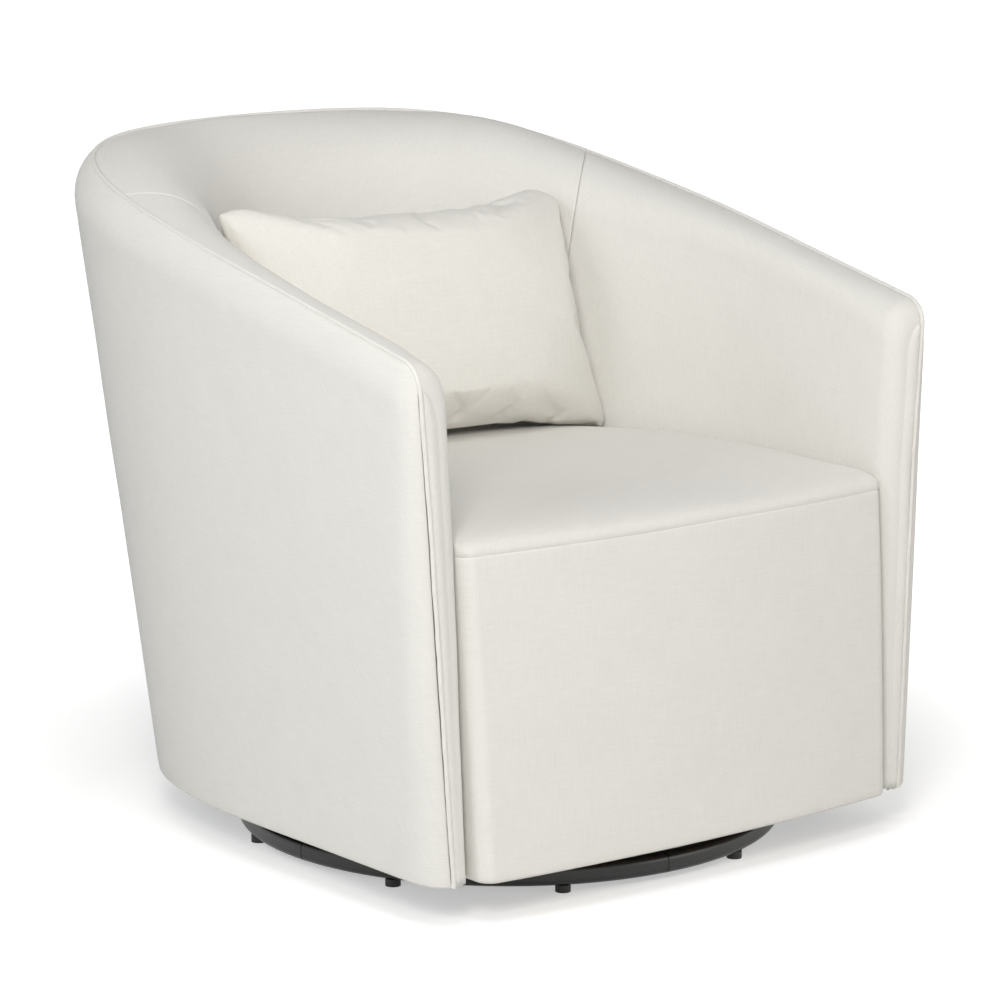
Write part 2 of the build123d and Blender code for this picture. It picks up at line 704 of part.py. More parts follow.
def cross_bars():
    reach_to = RING_RADIUS - RING_SECTION / 2
    bar = Pos(0, 0, BAR_TOP - BAR / 2) * Box(3 * reach_to, BAR_WIDE, BAR)
    disc = Pos(0, 0, BAR_TOP - BAR / 2) * Cylinder(reach_to, BAR)
    return (bar + Rot(0, 0, 90) * bar) & disc


def disc(radius, hole, low, high):
    """Flat washer between two heights."""
    middle = Pos(0, 0, (low + high) / 2)
    return middle * Cylinder(radius, high - low) - middle * Cylinder(hole, high - low)


def race(low, high):
    """Bearing ring with a round track for the balls."""
    track = Solid.make_torus(RACE_RADIUS, BALL_RADIUS + BALL_CLEAR, Plane((0, 0, BALL_Z)))
    return disc(RACE_RADIUS + RACE_WIDE / 2, RACE_RADIUS - RACE_WIDE / 2, low, high) - track


def ball_places():
    return [Rot(0, 0, 360 * k / BALLS) * Pos(RACE_RADIUS, 0, BALL_Z) for k in range(BALLS)]


def bolt_places():
    half = BOLT_PITCH / 2
    return [Pos(sx * half, sy * half, 0) for sx in (-1, 1) for sy in (-1, 1)]


def bolt():
    hexagon = RegularPolygon(BOLT_HEAD / 2, 6, False)
    head = Pos(0, 0, TOP_PLATE_LOW - BOLT_HEAD_TALL) * extrude(hexagon, BOLT_HEAD_TALL)
    long = PANEL_TOP + TEE_PLATE - TOP_PLATE_LOW
    return head + Pos(0, 0, TOP_PLATE_LOW + long / 2) * Cylinder(BOLT_DIAMETER / 2, long)


def tee_nut():
    """Flanged nut let into the bottom panel from above."""
    bore = BOLT_DIAMETER / 2 + PIVOT_CLEAR
    barrel = disc(bore + TEE_WALL, bore, PANEL_TOP - PANEL / 2, PANEL_TOP)
    return barrel + disc(TEE_FLANGE / 2, bore, PANEL_TOP, PANEL_TOP + TEE_PLATE)


def cover_notches():
    """Slots in the bottom beside the front panel, for its returns and those of the arm covers."""
    near = front_half(PANEL_Z) - FABRIC - NOTCH
    far = Station(0).inside(PANEL_TOP) + FABRIC + NOTCH
    ends = (FRAME_FRONT_Y - NOTCH, max(COVER_BACK, ARM_FRONT_Y + ARM_RETURN) + NOTCH)
    low = PANEL_Z - PANEL
    return [slab(near, far, *ends, low, PANEL_TOP + NOTCH), slab(-far, -near, *ends, low, PANEL_TOP + NOTCH)]


def bottom_panel():
    """Plywood bottom with a tongue under the front panel, and holes for pivot and bolts."""
    panel = extrude(barrel_face(PANEL_Z, PANEL_INSET, FRAME_FRONT_Y + PANEL_SETBACK), PANEL, dir=(0, 0, 1))
    tongue_y = FRONT_LOW_Y + TONGUE_BACKSET
    panel += slab(-TONGUE_HALF, TONGUE_HALF, tongue_y, FRAME_FRONT_Y + PANEL, PANEL_Z, PANEL_TOP)
    panel -= Pos(0, 0, PANEL_Z) * Cylinder(PANEL_HOLE, 3 * PANEL)
    panel -= cover_notches()
    for place in bolt_places():
        hole = BOLT_DIAMETER / 2 + TEE_WALL + 2 * PIVOT_CLEAR
        panel -= place * Pos(0, 0, PANEL_Z) * Cylinder(hole, 2 * PANEL)
    return panel


os.makedirs("parts", exist_ok=True)

# Base: ring, glides, cross bars and the fixed half of the swivel
save("base_ring", base_ring())
save("floor_glides", Compound([Rot(0, 0, angle) * glide() for angle in glide_angles()]))
save("cross_bars", cross_bars())
save("hub_plate", disc(HUB_RADIUS, PIVOT_DIAMETER / 2, BAR_TOP, HUB_TOP))
save("lower_race", race(HUB_TOP, BALL_Z - RACE_GAP / 2))
STUD_TOP = PANEL_Z + WASHER_FREE + WASHER + NUT_TALL
save("pivot_stud", Pos(0, 0, (BAR_TOP + STUD_TOP) / 2) * Cylinder(PIVOT_DIAMETER / 2, STUD_TOP - BAR_TOP))
WASHER_LOW = PANEL_Z + WASHER_FREE
save("pivot_washer", disc(WASHER_RADIUS, PIVOT_DIAMETER / 2, WASHER_LOW, WASHER_LOW + WASHER))
NUT = extrude(RegularPolygon(NUT_ACROSS / 2, 6, False), NUT_TALL) - Cylinder(PIVOT_DIAMETER / 2, 3 * NUT_TALL)
save("pivot_nut", Pos(0, 0, WASHER_LOW + WASHER) * NUT)

# Ball cage, turning at half the speed of the chair
CAGE_HALF = RACE_WIDE / 3
CAGE_RING = disc(RACE_RADIUS + CAGE_HALF, RACE_RADIUS - CAGE_HALF, BALL_Z - CAGE / 2, BALL_Z + CAGE / 2)
POCKET = Cylinder(BALL_RADIUS + CAGE_CLEAR, 3 * CAGE)
save("ball_cage", CAGE_RING - [place * POCKET for place in ball_places()])
save("bearing_balls", Compound([place * Sphere(BALL_RADIUS) for place in ball_places()]))

# Turning half of the swivel
save("upper_race", race(BALL_Z + RACE_GAP / 2, TOP_PLATE_LOW))
BUSH_OUTER = PIVOT_DIAMETER / 2 + BUSH_WALL
BOLT_HOLE = Cylinder(BOLT_DIAMETER / 2 + PIVOT_CLEAR, 9 * TOP_PLATE)
PLATE_BLANK = slab(-TOP_PLATE_SIDE / 2, TOP_PLATE_SIDE / 2, -TOP_PLATE_SIDE / 2, TOP_PLATE_SIDE / 2,
                   TOP_PLATE_LOW, PANEL_Z)
PLATE_CUTS = [place * Pos(0, 0, PANEL_Z) * BOLT_HOLE for place in bolt_places()]
PLATE_CUTS.append(Pos(0, 0, PANEL_Z) * Cylinder(BUSH_OUTER, 9 * TOP_PLATE))
save("top_plate", PLATE_BLANK - PLATE_CUTS)
BUSH_BORE = PIVOT_DIAMETER / 2 + PIVOT_CLEAR
BUSH = disc(BUSH_OUTER, BUSH_BORE, TOP_PLATE_LOW, PANEL_Z)
save("pivot_bush", BUSH + disc(BUSH_OUTER + FLANGE_WIDE, BUSH_BORE, TOP_PLATE_LOW - FLANGE, TOP_PLATE_LOW))
save("plate_bolts", Compound([place * bolt() for place in bolt_places()]))
save("tee_nuts", Compound([place * tee_nut() for place in bolt_places()]))

# Timber frame
save("bottom_panel", bottom_panel())
for side, hand in ((-1, "left"), (1, "right")):
    save(f"arm_post_{hand}", arm_post(side))
    save(f"arm_rail_{hand}", wrap(arm_cuts(side, FRAME_YS), rail_section))
    save(f"arm_board_{hand}", wrap(arm_cuts(side, FRAME_YS), board_section))
save("back_rail", wrap(back_cuts(), rail_section))
save("back_board", wrap(back_cuts(), board_section))
save("back_ribs", Compound([upright(angle) for angle in RIB_ANGLES]))
RAIL_Z = (SEAT_RAIL_LOW, SEAT_RAIL_TOP)
RAIL_IN = SEAT_RAIL_HALF - SEAT_RAIL
SIDE_Y = (SEAT_RAIL_FRONT_Y + SEAT_RAIL, SEAT_RAIL_BACK_Y)
FRONT_RAIL_Y = (SEAT_RAIL_FRONT_Y, SIDE_Y[0])
BACK_RAIL_Y = (SEAT_RAIL_BACK_Y, SEAT_RAIL_BACK_Y + SEAT_RAIL)
save("seat_rail_front", slab(-SEAT_RAIL_HALF, SEAT_RAIL_HALF, *FRONT_RAIL_Y, *RAIL_Z))
save("seat_rail_back", slab(-SEAT_RAIL_HALF, SEAT_RAIL_HALF, *BACK_RAIL_Y, *RAIL_Z))
save("seat_rail_left", slab(-SEAT_RAIL_HALF, -RAIL_IN, *SIDE_Y, *RAIL_Z))
save("seat_rail_right", slab(RAIL_IN, SEAT_RAIL_HALF, *SIDE_Y, *RAIL_Z))
LEG_YS = ((SIDE_Y[0], SIDE_Y[0] + SEAT_LEG), (SIDE_Y[1] - SEAT_LEG, SIDE_Y[1]))
LEG_XS = ((-RAIL_IN, SEAT_LEG - RAIL_IN), (RAIL_IN - SEAT_LEG, RAIL_IN))
save("seat_legs", Compound([slab(*x, *y, PANEL_TOP, SEAT_RAIL_TOP) for x in LEG_XS for y in LEG_YS]))
save("front_board", front_band(PANEL_TOP, SEAT_RAIL_TOP, BOARD_INSET, FRONT_BOARD, board_back))

# Seat springs and seat
CLIP_YS = (SEAT_RAIL_FRONT_Y + SEAT_RAIL / 2, SEAT_RAIL_BACK_Y + SEAT_RAIL / 2)
save("seat_springs", Compound([spring(x) for x in spring_xs()]))
save("spring_clips", Compound([clip(x, y) for x in spring_xs() for y in CLIP_YS]))
DECK_FRONT = SEAT_RAIL_FRONT_Y - FRONT_BOW
DECK_PLAN = seat_plan(CLIP_TOP + LAYER_GAP, SEAT_RAIL_HALF, SEAT_DEPTH - SEAT_RAIL, DECK_FRONT, FRONT_CORNER)
save("spring_pad", extrude(Face(DECK_PLAN), DECK_PAD, dir=(0, 0, 1)))
save("seat_foam", seat_foam())

# Upholstery
save("seat_cover", seat_crown(0) - seat_crown(FABRIC))
save("front_pad", front_band(PANEL_TOP + LAYER_GAP, CLIP_TOP, FABRIC + LAYER_GAP, FRONT_PAD, board_back))
save("front_cover", front_band(HEM_Z, SEAT_SEAM_Z - LAYER_GAP, 0, FABRIC, lambda z: COVER_BACK))
for side, hand in ((-1, "left"), (1, "right")):
    save(f"arm_pad_{hand}", wrap(arm_cuts(side, CORNER_YS[1:]), pad_section))
    save(f"arm_front_pad_{hand}", arm_front_pad(side))
    save(f"arm_cover_{hand}", arm_cover(side))
save("back_pad", wrap(back_cuts(), pad_section))
save("back_cover", wrap(back_cuts(), skin_section))
save("outside_backing", wrap(shell_cuts(FRAME_YS), backing_section))
save("outside_cover", wrap(shell_cuts(CORNER_YS), cover_section))
save("welt_cord", welt())
DUST = extrude(barrel_face(PANEL_Z - DUST_COVER, DUST_INSET, FRAME_FRONT_Y), DUST_COVER, dir=(0, 0, 1))
DUST_HOLE = Box(TOP_PLATE_SIDE + 2 * FRAME_INSET, TOP_PLATE_SIDE + 2 * FRAME_INSET, 4 * PANEL)
save("dust_cover", DUST - Pos(0, 0, PANEL_Z) * DUST_HOLE - cover_notches())

# Loose pillow
save("pillow_cover", pillow_form(0) - pillow_form(PILLOW_FABRIC))
save("pillow_insert", pillow_form(PILLOW_FABRIC + PILLOW_SLACK))
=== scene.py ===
# %% [markdown]
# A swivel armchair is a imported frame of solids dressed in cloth. The frame gives every piece its place, in
# metres, with +Z up and the front of the chair towards -Y. We load it first and keep its box, because the
# cloth may stand only a little proud of it.

# %% Load the frame
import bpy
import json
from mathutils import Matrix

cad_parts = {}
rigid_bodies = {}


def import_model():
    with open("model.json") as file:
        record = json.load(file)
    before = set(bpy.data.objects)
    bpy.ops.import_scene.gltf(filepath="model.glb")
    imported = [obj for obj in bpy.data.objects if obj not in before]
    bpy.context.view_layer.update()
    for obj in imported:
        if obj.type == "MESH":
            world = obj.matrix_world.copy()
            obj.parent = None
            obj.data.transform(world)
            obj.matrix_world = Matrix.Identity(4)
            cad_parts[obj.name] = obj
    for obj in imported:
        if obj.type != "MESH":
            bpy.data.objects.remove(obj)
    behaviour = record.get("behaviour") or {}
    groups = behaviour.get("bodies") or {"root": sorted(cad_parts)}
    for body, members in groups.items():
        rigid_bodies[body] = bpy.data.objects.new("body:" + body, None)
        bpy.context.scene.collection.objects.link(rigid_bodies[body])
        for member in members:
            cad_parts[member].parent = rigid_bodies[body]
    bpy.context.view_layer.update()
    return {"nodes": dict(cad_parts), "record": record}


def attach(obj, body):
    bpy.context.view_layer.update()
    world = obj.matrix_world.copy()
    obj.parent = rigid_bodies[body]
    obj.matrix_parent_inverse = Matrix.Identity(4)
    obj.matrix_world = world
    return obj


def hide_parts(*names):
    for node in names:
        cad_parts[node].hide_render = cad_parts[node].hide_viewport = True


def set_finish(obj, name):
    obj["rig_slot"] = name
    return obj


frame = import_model()

import json
import math
from types import SimpleNamespace

import bmesh
import bpy
import numpy as np
from mathutils import Vector

# %% [markdown]
# The photograph looks down a little at the left front corner of the chair. A long lens keeps the far side
# nearly as large as the near side. The camera is set first.

# %% Camera
VIEW_TURN = math.radians(-38.43)
VIEW_TILT = math.radians(11.47)
lens = bpy.data.cameras.new("photo_camera")
lens.lens = 151.06
lens.sensor_width = 36.0
lens.shift_x = -0.00833
lens.shift_y = 0.00078
lens.clip_end = 50.0
camera = bpy.data.objects.new("photo_camera", lens)
camera.location = (-2.8674, -3.6940, 1.3035)
camera.rotation_euler = (math.pi / 2 - VIEW_TILT, 0.0, VIEW_TURN)
bpy.context.scene.collection.objects.link(camera)
bpy.context.scene.camera = camera
print("camera at", tuple(camera.location))

# %% [markdown]
# Nearly every visible piece is a grid: rows follow one parameter, columns the other. One helper turns such
# an array of points into a mesh with a UV map in metres, so that a weave drawn on UV has the same pitch on
# every piece. It also turns the faces to look the way we say, which is cheaper than repairing normals
# afterwards.

# %% Grid surfaces


def arc_lengths(points, axis):
    """Distance travelled along one grid direction: the running sum of the steps between neighbours."""
    steps = np.linalg.norm(np.diff(points, axis=axis), axis=-1)
    start = np.zeros_like(np.take(steps, [0], axis=axis))
    return np.concatenate([start, np.cumsum(steps, axis=axis)], axis=axis)


def surface(name, points, outward, close_rows=False, close_columns=False):
    """Mesh object from a grid of points; outward is the way the grid's middle face has to look."""
    closed = points
    if close_rows:
        closed = np.concatenate([closed, closed[:1]], axis=0)
    if close_columns:
        closed = np.concatenate([closed, closed[:, :1]], axis=1)
    rows, columns = points.shape[:2]
    i, j = np.meshgrid(np.arange(closed.shape[0] - 1), np.arange(closed.shape[1] - 1), indexing="ij")
    next_i = (i + 1) % rows
    next_j = (j + 1) % columns
    here, there = i * columns, next_i * columns
    quads = np.stack([here + j, there + j, there + next_j, here + next_j], axis=-1)
    uv = np.stack([arc_lengths(closed, 0), arc_lengths(closed, 1)], axis=-1)
    corner_uv = np.stack([uv[i, j], uv[i + 1, j], uv[i + 1, j + 1], uv[i, j + 1]], axis=2)
    mid_i, mid_j = (rows - 1) // 2, (columns - 1) // 2
    along = closed[mid_i + 1, mid_j] - closed[mid_i, mid_j]
    across = closed[mid_i, mid_j + 1] - closed[mid_i, mid_j]
    if np.dot(np.cross(along, across), outward) < 0:
        quads = quads[..., ::-1]
        corner_uv = corner_uv[:, :, ::-1]
    mesh = bpy.data.meshes.new(name)
    mesh.from_pydata(points.reshape(-1, 3).tolist(), [], quads.reshape(-1, 4).tolist())
    layer = mesh.uv_layers.new(name="cloth")
    layer.data.foreach_set("uv", np.ascontiguousarray(corner_uv, dtype=np.float32).ravel())
    mesh.shade_smooth()
    piece = bpy.data.objects.new(name, mesh)
    bpy.context.scene.collection.objects.link(piece)
    return piece


def merge_doubles(piece, distance=1e-5):
    """Join points that lie on each other, as at the middle of a seat, so poles are closed."""
    work = bmesh.new()
    work.from_mesh(piece.data)
    bmesh.ops.remove_doubles(work, verts=work.verts, dist=distance)
    bmesh.ops.dissolve_degenerate(work, edges=work.edges, dist=distance / 10)
    work.to_mesh(piece.data)
    work.free()


def thicken(piece, thickness):
    """Give a sheet of cloth its thickness, inwards from the face that shows."""
    wall = piece.modifiers.new("cloth_thickness", "SOLIDIFY")
    wall.thickness = thickness
    wall.offset = -1.0
    wall.use_rim = True


def grid_normals(points):
    """Unit normals of a grid: the cross product of its two directions, by differences."""
    normal = np.cross(np.gradient(points, axis=0), np.gradient(points, axis=1))
    return normal / np.maximum(np.linalg.norm(normal, axis=-1, keepdims=True), 1e-9)


def wavy(points, pitch, seed, parts=9):
    """Soft random relief between about -1 and 1: a few plane waves of mixed direction added up."""
    draw = np.random.default_rng(seed)
    ways = draw.normal(size=(parts, 3))
    ways /= np.linalg.norm(ways, axis=1, keepdims=True)
    pitches = pitch * draw.uniform(0.7, 1.6, parts)
    phases = draw.uniform(0, 2 * math.pi, parts)
    waves = np.sin(points @ (ways / pitches[:, None] * 2 * math.pi).T + phases)
    return waves.mean(axis=-1) * math.sqrt(parts) / 1.6


def smooth_step(value):
    """Zero below 0, one above 1, and an S-shaped cubic between."""
    value = np.clip(value, 0.0, 1.0)
    return value * value * (3 - 2 * value)


print("helpers ready")

# %% [markdown]
# The shell is a barrel: seen from above it is a squared ellipse, open at the front, and it leans out
# towards its top. Its top edge falls in a straight line from the crest to the arm fronts. We describe one
# upright cut of it by a few radii, for many cuts at once, and every cloth piece of the shell then takes its
# points from these cuts.

# %% The barrel in upright cuts
SWIVEL_Y = -0.0815
BARREL_Y = -0.090 + SWIVEL_Y
ARM_FRONT_Y = -0.297 + SWIVEL_Y
BACK_Y = 0.500 + SWIVEL_Y
HEM_Z = 0.047
CREST_Z = 0.760
SEAT_EDGE_Z = 0.398
TUCK_Z = 0.346
TOP_SLOPE = 0.218
WELT_INSET = 0.016
WELT_RADIUS = 0.0026
WELT_SEAT = 0.0030
SHOULDER = 0.046
ARM_CORNER = 0.024
ARM_ROUND = 0.034
FOOT_DRAW = 0.010
FOOT_SPREAD = 0.0104
FRONT_LEAN = 0.008
FRONT_FALL = 0.002
FRONT_FLARE = 0.0038
ARM_LIFT = 0.004
CORNER_DIP = 0.011
CORNER_INSET = 0.026
SEAM_LEAN = 0.39
FABRIC = 0.002
SEAM_ANGLE = math.radians(47.0)


def reach(half, depth, square, angle):
    """Radius of a squared ellipse: one over the power mean of its two scaled directions."""
    across = np.abs(np.cos(angle)) / half
    along = np.abs(np.sin(angle)) / depth
    return (across**square + along**square) ** (-1 / square)


def blend(low, high, share):
    return low + (high - low) * share


def height_share(z):
    """How far up the shell a height is, from the hem to the crest."""
    return (z - HEM_Z) / (CREST_Z - HEM_Z)


def inside_radius(angle, z):
    """Radius of the inside face: it leans out with height; below the seat the arms are nearly upright."""
    seat = reach(0.298, 0.348, 2.0, angle)
    inner = reach(0.318, 0.520, 2.1, angle)
    below = np.clip(SEAT_EDGE_Z - z, 0, None) / (SEAT_EDGE_Z - HEM_Z)
    line = blend(seat, inner, (z - SEAT_EDGE_Z) / (CREST_Z - SEAT_EDGE_Z))
    return line + FOOT_SPREAD * np.cos(angle) ** 2 * below


def above_seat(z):
    """Zero at the seat and below it, one at the arm fronts' top."""
    return np.clip((z - 0.42) / 0.17, 0, 1)


def barrel(angle, y):
    """Radii and heights of the upright cuts at these angles and positions, as columns."""
    cut = SimpleNamespace(angle=angle[:, None], y=y[:, None])
    cut.across = np.cos(cut.angle)
    cut.along = np.sin(cut.angle)
    cut.into = np.clip((ARM_FRONT_Y + ARM_ROUND - cut.y) / ARM_ROUND, 0, 1)
    curl = 1 - np.sqrt(1 - cut.into**2)
    hem = reach(0.342, 0.468, 3.5, cut.angle)
    crest = reach(0.373, 0.590, 4.2, cut.angle)
    cut.plain = lambda z: blend(hem, crest, height_share(z))
    corner = (cut.along * np.sin(2 * cut.angle)) ** 2
    inset = WELT_INSET + CORNER_INSET * corner
    front = lambda z: FOOT_DRAW * (1 - height_share(z)) - FRONT_FLARE * above_seat(z)
    cut.welt_line = lambda z: cut.plain(z) - inset - front(z) * cut.into**2
    cut.outer = lambda z: cut.plain(z) - curl * (cut.plain(z) - cut.welt_line(z) - WELT_SEAT)
    cut.inside = lambda z: inside_radius(cut.angle, z)
    edge_y = cut.y + cut.along * (crest - WELT_INSET)
    into_corner = np.clip(ARM_FRONT_Y + ARM_CORNER - cut.y, 0, ARM_CORNER)
    drop = ARM_CORNER - np.sqrt(ARM_CORNER**2 - into_corner**2)
    rise = ARM_LIFT * cut.across**2 - CORNER_DIP * corner
    cut.top = CREST_Z - TOP_SLOPE * (BACK_Y - WELT_INSET - edge_y) - drop + rise
    cut.welt = cut.welt_line(cut.top)
    cut.roll_drop = blend(0.044, 0.084, cut.along**2)
    near_front = smooth_step((cut.y - ARM_FRONT_Y - 0.010) / 0.080)
    cut.boxy = (1 - cut.along**2) ** 2 * blend(0.40, 1.0, near_front)
    return cut


def front_lean(into, z):
    """How far an arm front stands forward of its plane: most at the hem, and back at its top."""
    forward = FRONT_LEAN * np.clip((0.42 - z) / (0.42 - HEM_Z), 0, 1)
    return into**2 * (forward - FRONT_FALL * above_seat(z))


def place(cut, r, z):
    """Points of the cuts, from a radius and a height in each cut's own plane."""
    r, z = np.broadcast_arrays(r, z)
    return np.stack([cut.across * r, cut.y + cut.along * r - front_lean(cut.into, z), z], axis=-1)


def arm_path(straight=26, corner=16):
    """Positions from an arm's front to the barrel centre, close together round the top corner."""
    bend = np.linspace(0, math.pi / 2, corner)
    near = ARM_FRONT_Y + ARM_CORNER * (1 - np.cos(bend))
    return np.concatenate([near, np.linspace(near[-1], BARREL_Y, straight)[1:]])


def shell_path(turns=150):
    """Angles and positions of the cuts all round, from the right arm's front to the left arm's."""
    ys = arm_path()
    sweep = np.linspace(0, math.pi, turns)[1:-1]
    angle = np.concatenate([np.zeros_like(ys), sweep, np.full_like(ys, math.pi)])
    y = np.concatenate([ys, np.full_like(sweep, BARREL_Y), ys[::-1]])
    return angle, y


ROUND = barrel(*shell_path())
print("cuts", ROUND.angle.size, "top from", ROUND.top.min(), "to", ROUND.top.max())

# %% [markdown]
# The outside cover is one tight cloth over a stiff sheet: flat and leaning, with a soft shoulder that turns
# over to the welt. Its hem is folded under. A profile with three stretches, carried round the cuts, gives
# all of it.

# %% Outside cover


def shoulder(cut, count):
    """Radius and height along the soft outer edge: an arc that leaves the leaning face without a kink."""
    start_z = cut.top - SHOULDER
    start_r = cut.outer(start_z)
    end_r = cut.welt + WELT_SEAT
    rise_r = cut.outer(cut.top) - start_r
    size = np.hypot(rise_r, SHOULDER)
    rise = (rise_r / size, SHOULDER / size)
    inward = (-rise[1], rise[0])
    step = (end_r - start_r, cut.top - start_z)
    along = step[0] * rise[0] + step[1] * rise[1]
    aside = step[0] * inward[0] + step[1] * inward[1]
    radius = (along**2 + aside**2) / (2 * aside)
    turn = 2 * np.arctan2(aside, along) * np.linspace(0, 1, count)
    r = start_r + inward[0] * radius + (rise[0] * np.sin(turn) - inward[0] * np.cos(turn)) * radius
    z = start_z + inward[1] * radius + (rise[1] * np.sin(turn) - inward[1] * np.cos(turn)) * radius
    return r, z


def outside_points(cut):
    """Folded hem, leaning face and shoulder, joined into one profile per cut."""
    fold = np.radians(np.linspace(-60, 90, 7))
    fold_r = cut.outer(HEM_Z) - 0.004 * (1 - np.sin(fold))
    fold_z = np.broadcast_to(HEM_Z + 0.004 * (1 - np.cos(fold)), fold_r.shape)
    fold_z = np.where(np.sin(fold) < 0, HEM_Z, fold_z)
    inner_r = cut.outer(HEM_Z) - np.array([[0.016, 0.011]])
    inner_z = np.full_like(inner_r, HEM_Z + 0.0005)
    share = np.linspace(0, 1, 62)[1:-1]
    face_z = blend(HEM_Z + 0.004, cut.top - SHOULDER, share)
    face_r = cut.outer(face_z) + 0.0012 * np.sin(math.pi * share)
    edge_r, edge_z = shoulder(cut, 16)
    tuck_r = edge_r[:, -1:] - np.array([[0.0018, 0.0042]])
    tuck_z = edge_z[:, -1:] - np.array([[0.0014, 0.0034]])
    r = np.concatenate([inner_r, fold_r, face_r, edge_r, tuck_r], axis=1)
    z = np.concatenate([inner_z, fold_z, face_z, edge_z, tuck_z], axis=1)
    points = place(cut, r, z)
    relief = 0.0006 * wavy(points, 0.22, 3)
    out = np.stack([cut.across, cut.along, np.zeros_like(cut.along)], axis=-1)
    points = points + relief[..., None] * out
    under = place(cut, np.minimum(r, cut.welt_line(z)), z)[[0, -1]] + np.array([0, 0.003, 0])
    return np.concatenate([under[:1], points, under[1:]])


outside = surface("outside_shell", outside_points(ROUND), (0, 1, 0))
thicken(outside, FABRIC)
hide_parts("outside_cover")
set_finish(outside, "ivory_fabric")
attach(outside, "chair")
print("outside", len(outside.data.vertices), "points")

# %% [markdown]
# The inside arms and the inside back are foam under cloth. Each is one surface from the welt, over a soft
# roll and down to the tuck beside the seat. Where an arm meets the back, both cloths turn in to a seam. At
# the arm front the inside cloth turns a soft corner and closes the front, down to the hem.

# %% Inside arms and back


ROLL_SQUARE = 3.2


def roll(cut, count):
    """Radius and height over the inner top roll, from beside the welt to the inside face.

    The back has an arc of a circle that runs into the face. The arms have a squarer quarter ellipse,
    with a flat top.
    """
    low = cut.top - cut.roll_drop
    start = (cut.welt - WELT_SEAT, cut.top)
    end = (cut.inside(low), low)
    lean = cut.inside(low) - cut.inside(low - 0.001)
    size = np.hypot(lean, 0.001)
    normal = (0.001 / size, -lean / size)
    step = (start[0] - end[0], start[1] - end[1])
    radius = (step[0] ** 2 + step[1] ** 2) / (2 * (step[0] * normal[0] + step[1] * normal[1]))
    centre = (end[0] + normal[0] * radius, end[1] + normal[1] * radius)
    first = np.arctan2(start[1] - centre[1], start[0] - centre[0])
    last = np.arctan2(end[1] - centre[1], end[0] - centre[0])
    last = np.where(last < first, last + 2 * math.pi, last)
    share = np.linspace(0, 1, count)
    turn = blend(first, last, share)
    quarter = math.pi / 2 * share
    across = np.sin(quarter) ** (2 / ROLL_SQUARE)
    up = np.cos(quarter).clip(0, 1) ** (2 / ROLL_SQUARE)
    boxed = (blend(start[0], end[0], across), blend(end[1], start[1], up))
    round_r, round_z = centre[0] + radius * np.cos(turn), centre[1] + radius * np.sin(turn)
    return blend(round_r, boxed[0], cut.boxy), blend(round_z, boxed[1], cut.boxy)


def lean_seam(points, top, share):
    """Slide points round the barrel, more the lower they are, so that seams lean to the back's middle."""
    x, y, z = points[..., 0], points[..., 1] - BARREL_Y, points[..., 2]
    angle = np.arctan2(y, x)
    moved = angle + share * SEAM_LEAN * np.clip(top - z, 0, None)
    r = np.hypot(x, y) * inside_radius(moved, z) / inside_radius(angle, z)
    return np.stack([r * np.cos(moved), BARREL_Y + r * np.sin(moved), z], axis=-1)


def inside_points(cut, low_z):
    """Tuck beside the welt, roll and inside face down to a lower edge, one profile per cut."""
    roll_r, roll_z = roll(cut, 26)
    tuck_r = roll_r[:, :1] + np.array([[0.0042, 0.0018]])
    tuck_z = roll_z[:, :1] - np.array([[0.0034, 0.0014]])
    share = np.linspace(0, 1, 54)[1:]
    face_z = blend(roll_z[:, -1:], low_z, share)
    face_r = cut.inside(face_z)
    r = np.concatenate([tuck_r, roll_r, face_r], axis=1)
    z = np.concatenate([tuck_z, roll_z, face_z], axis=1)
    return place(cut, r, z)


def turn_in(points, inward, distance, reach_in, depth):
    """Lower the surface along its normals near an edge: a quarter circle of that depth over that reach."""
    share = np.clip(1 - distance / reach_in, 0, 1)
    fall = depth * (1 - np.sqrt(1 - share**2))
    return points + inward * fall[..., None]


SEAM_REACH = 0.004
SEAM_DEPTH = 0.0012


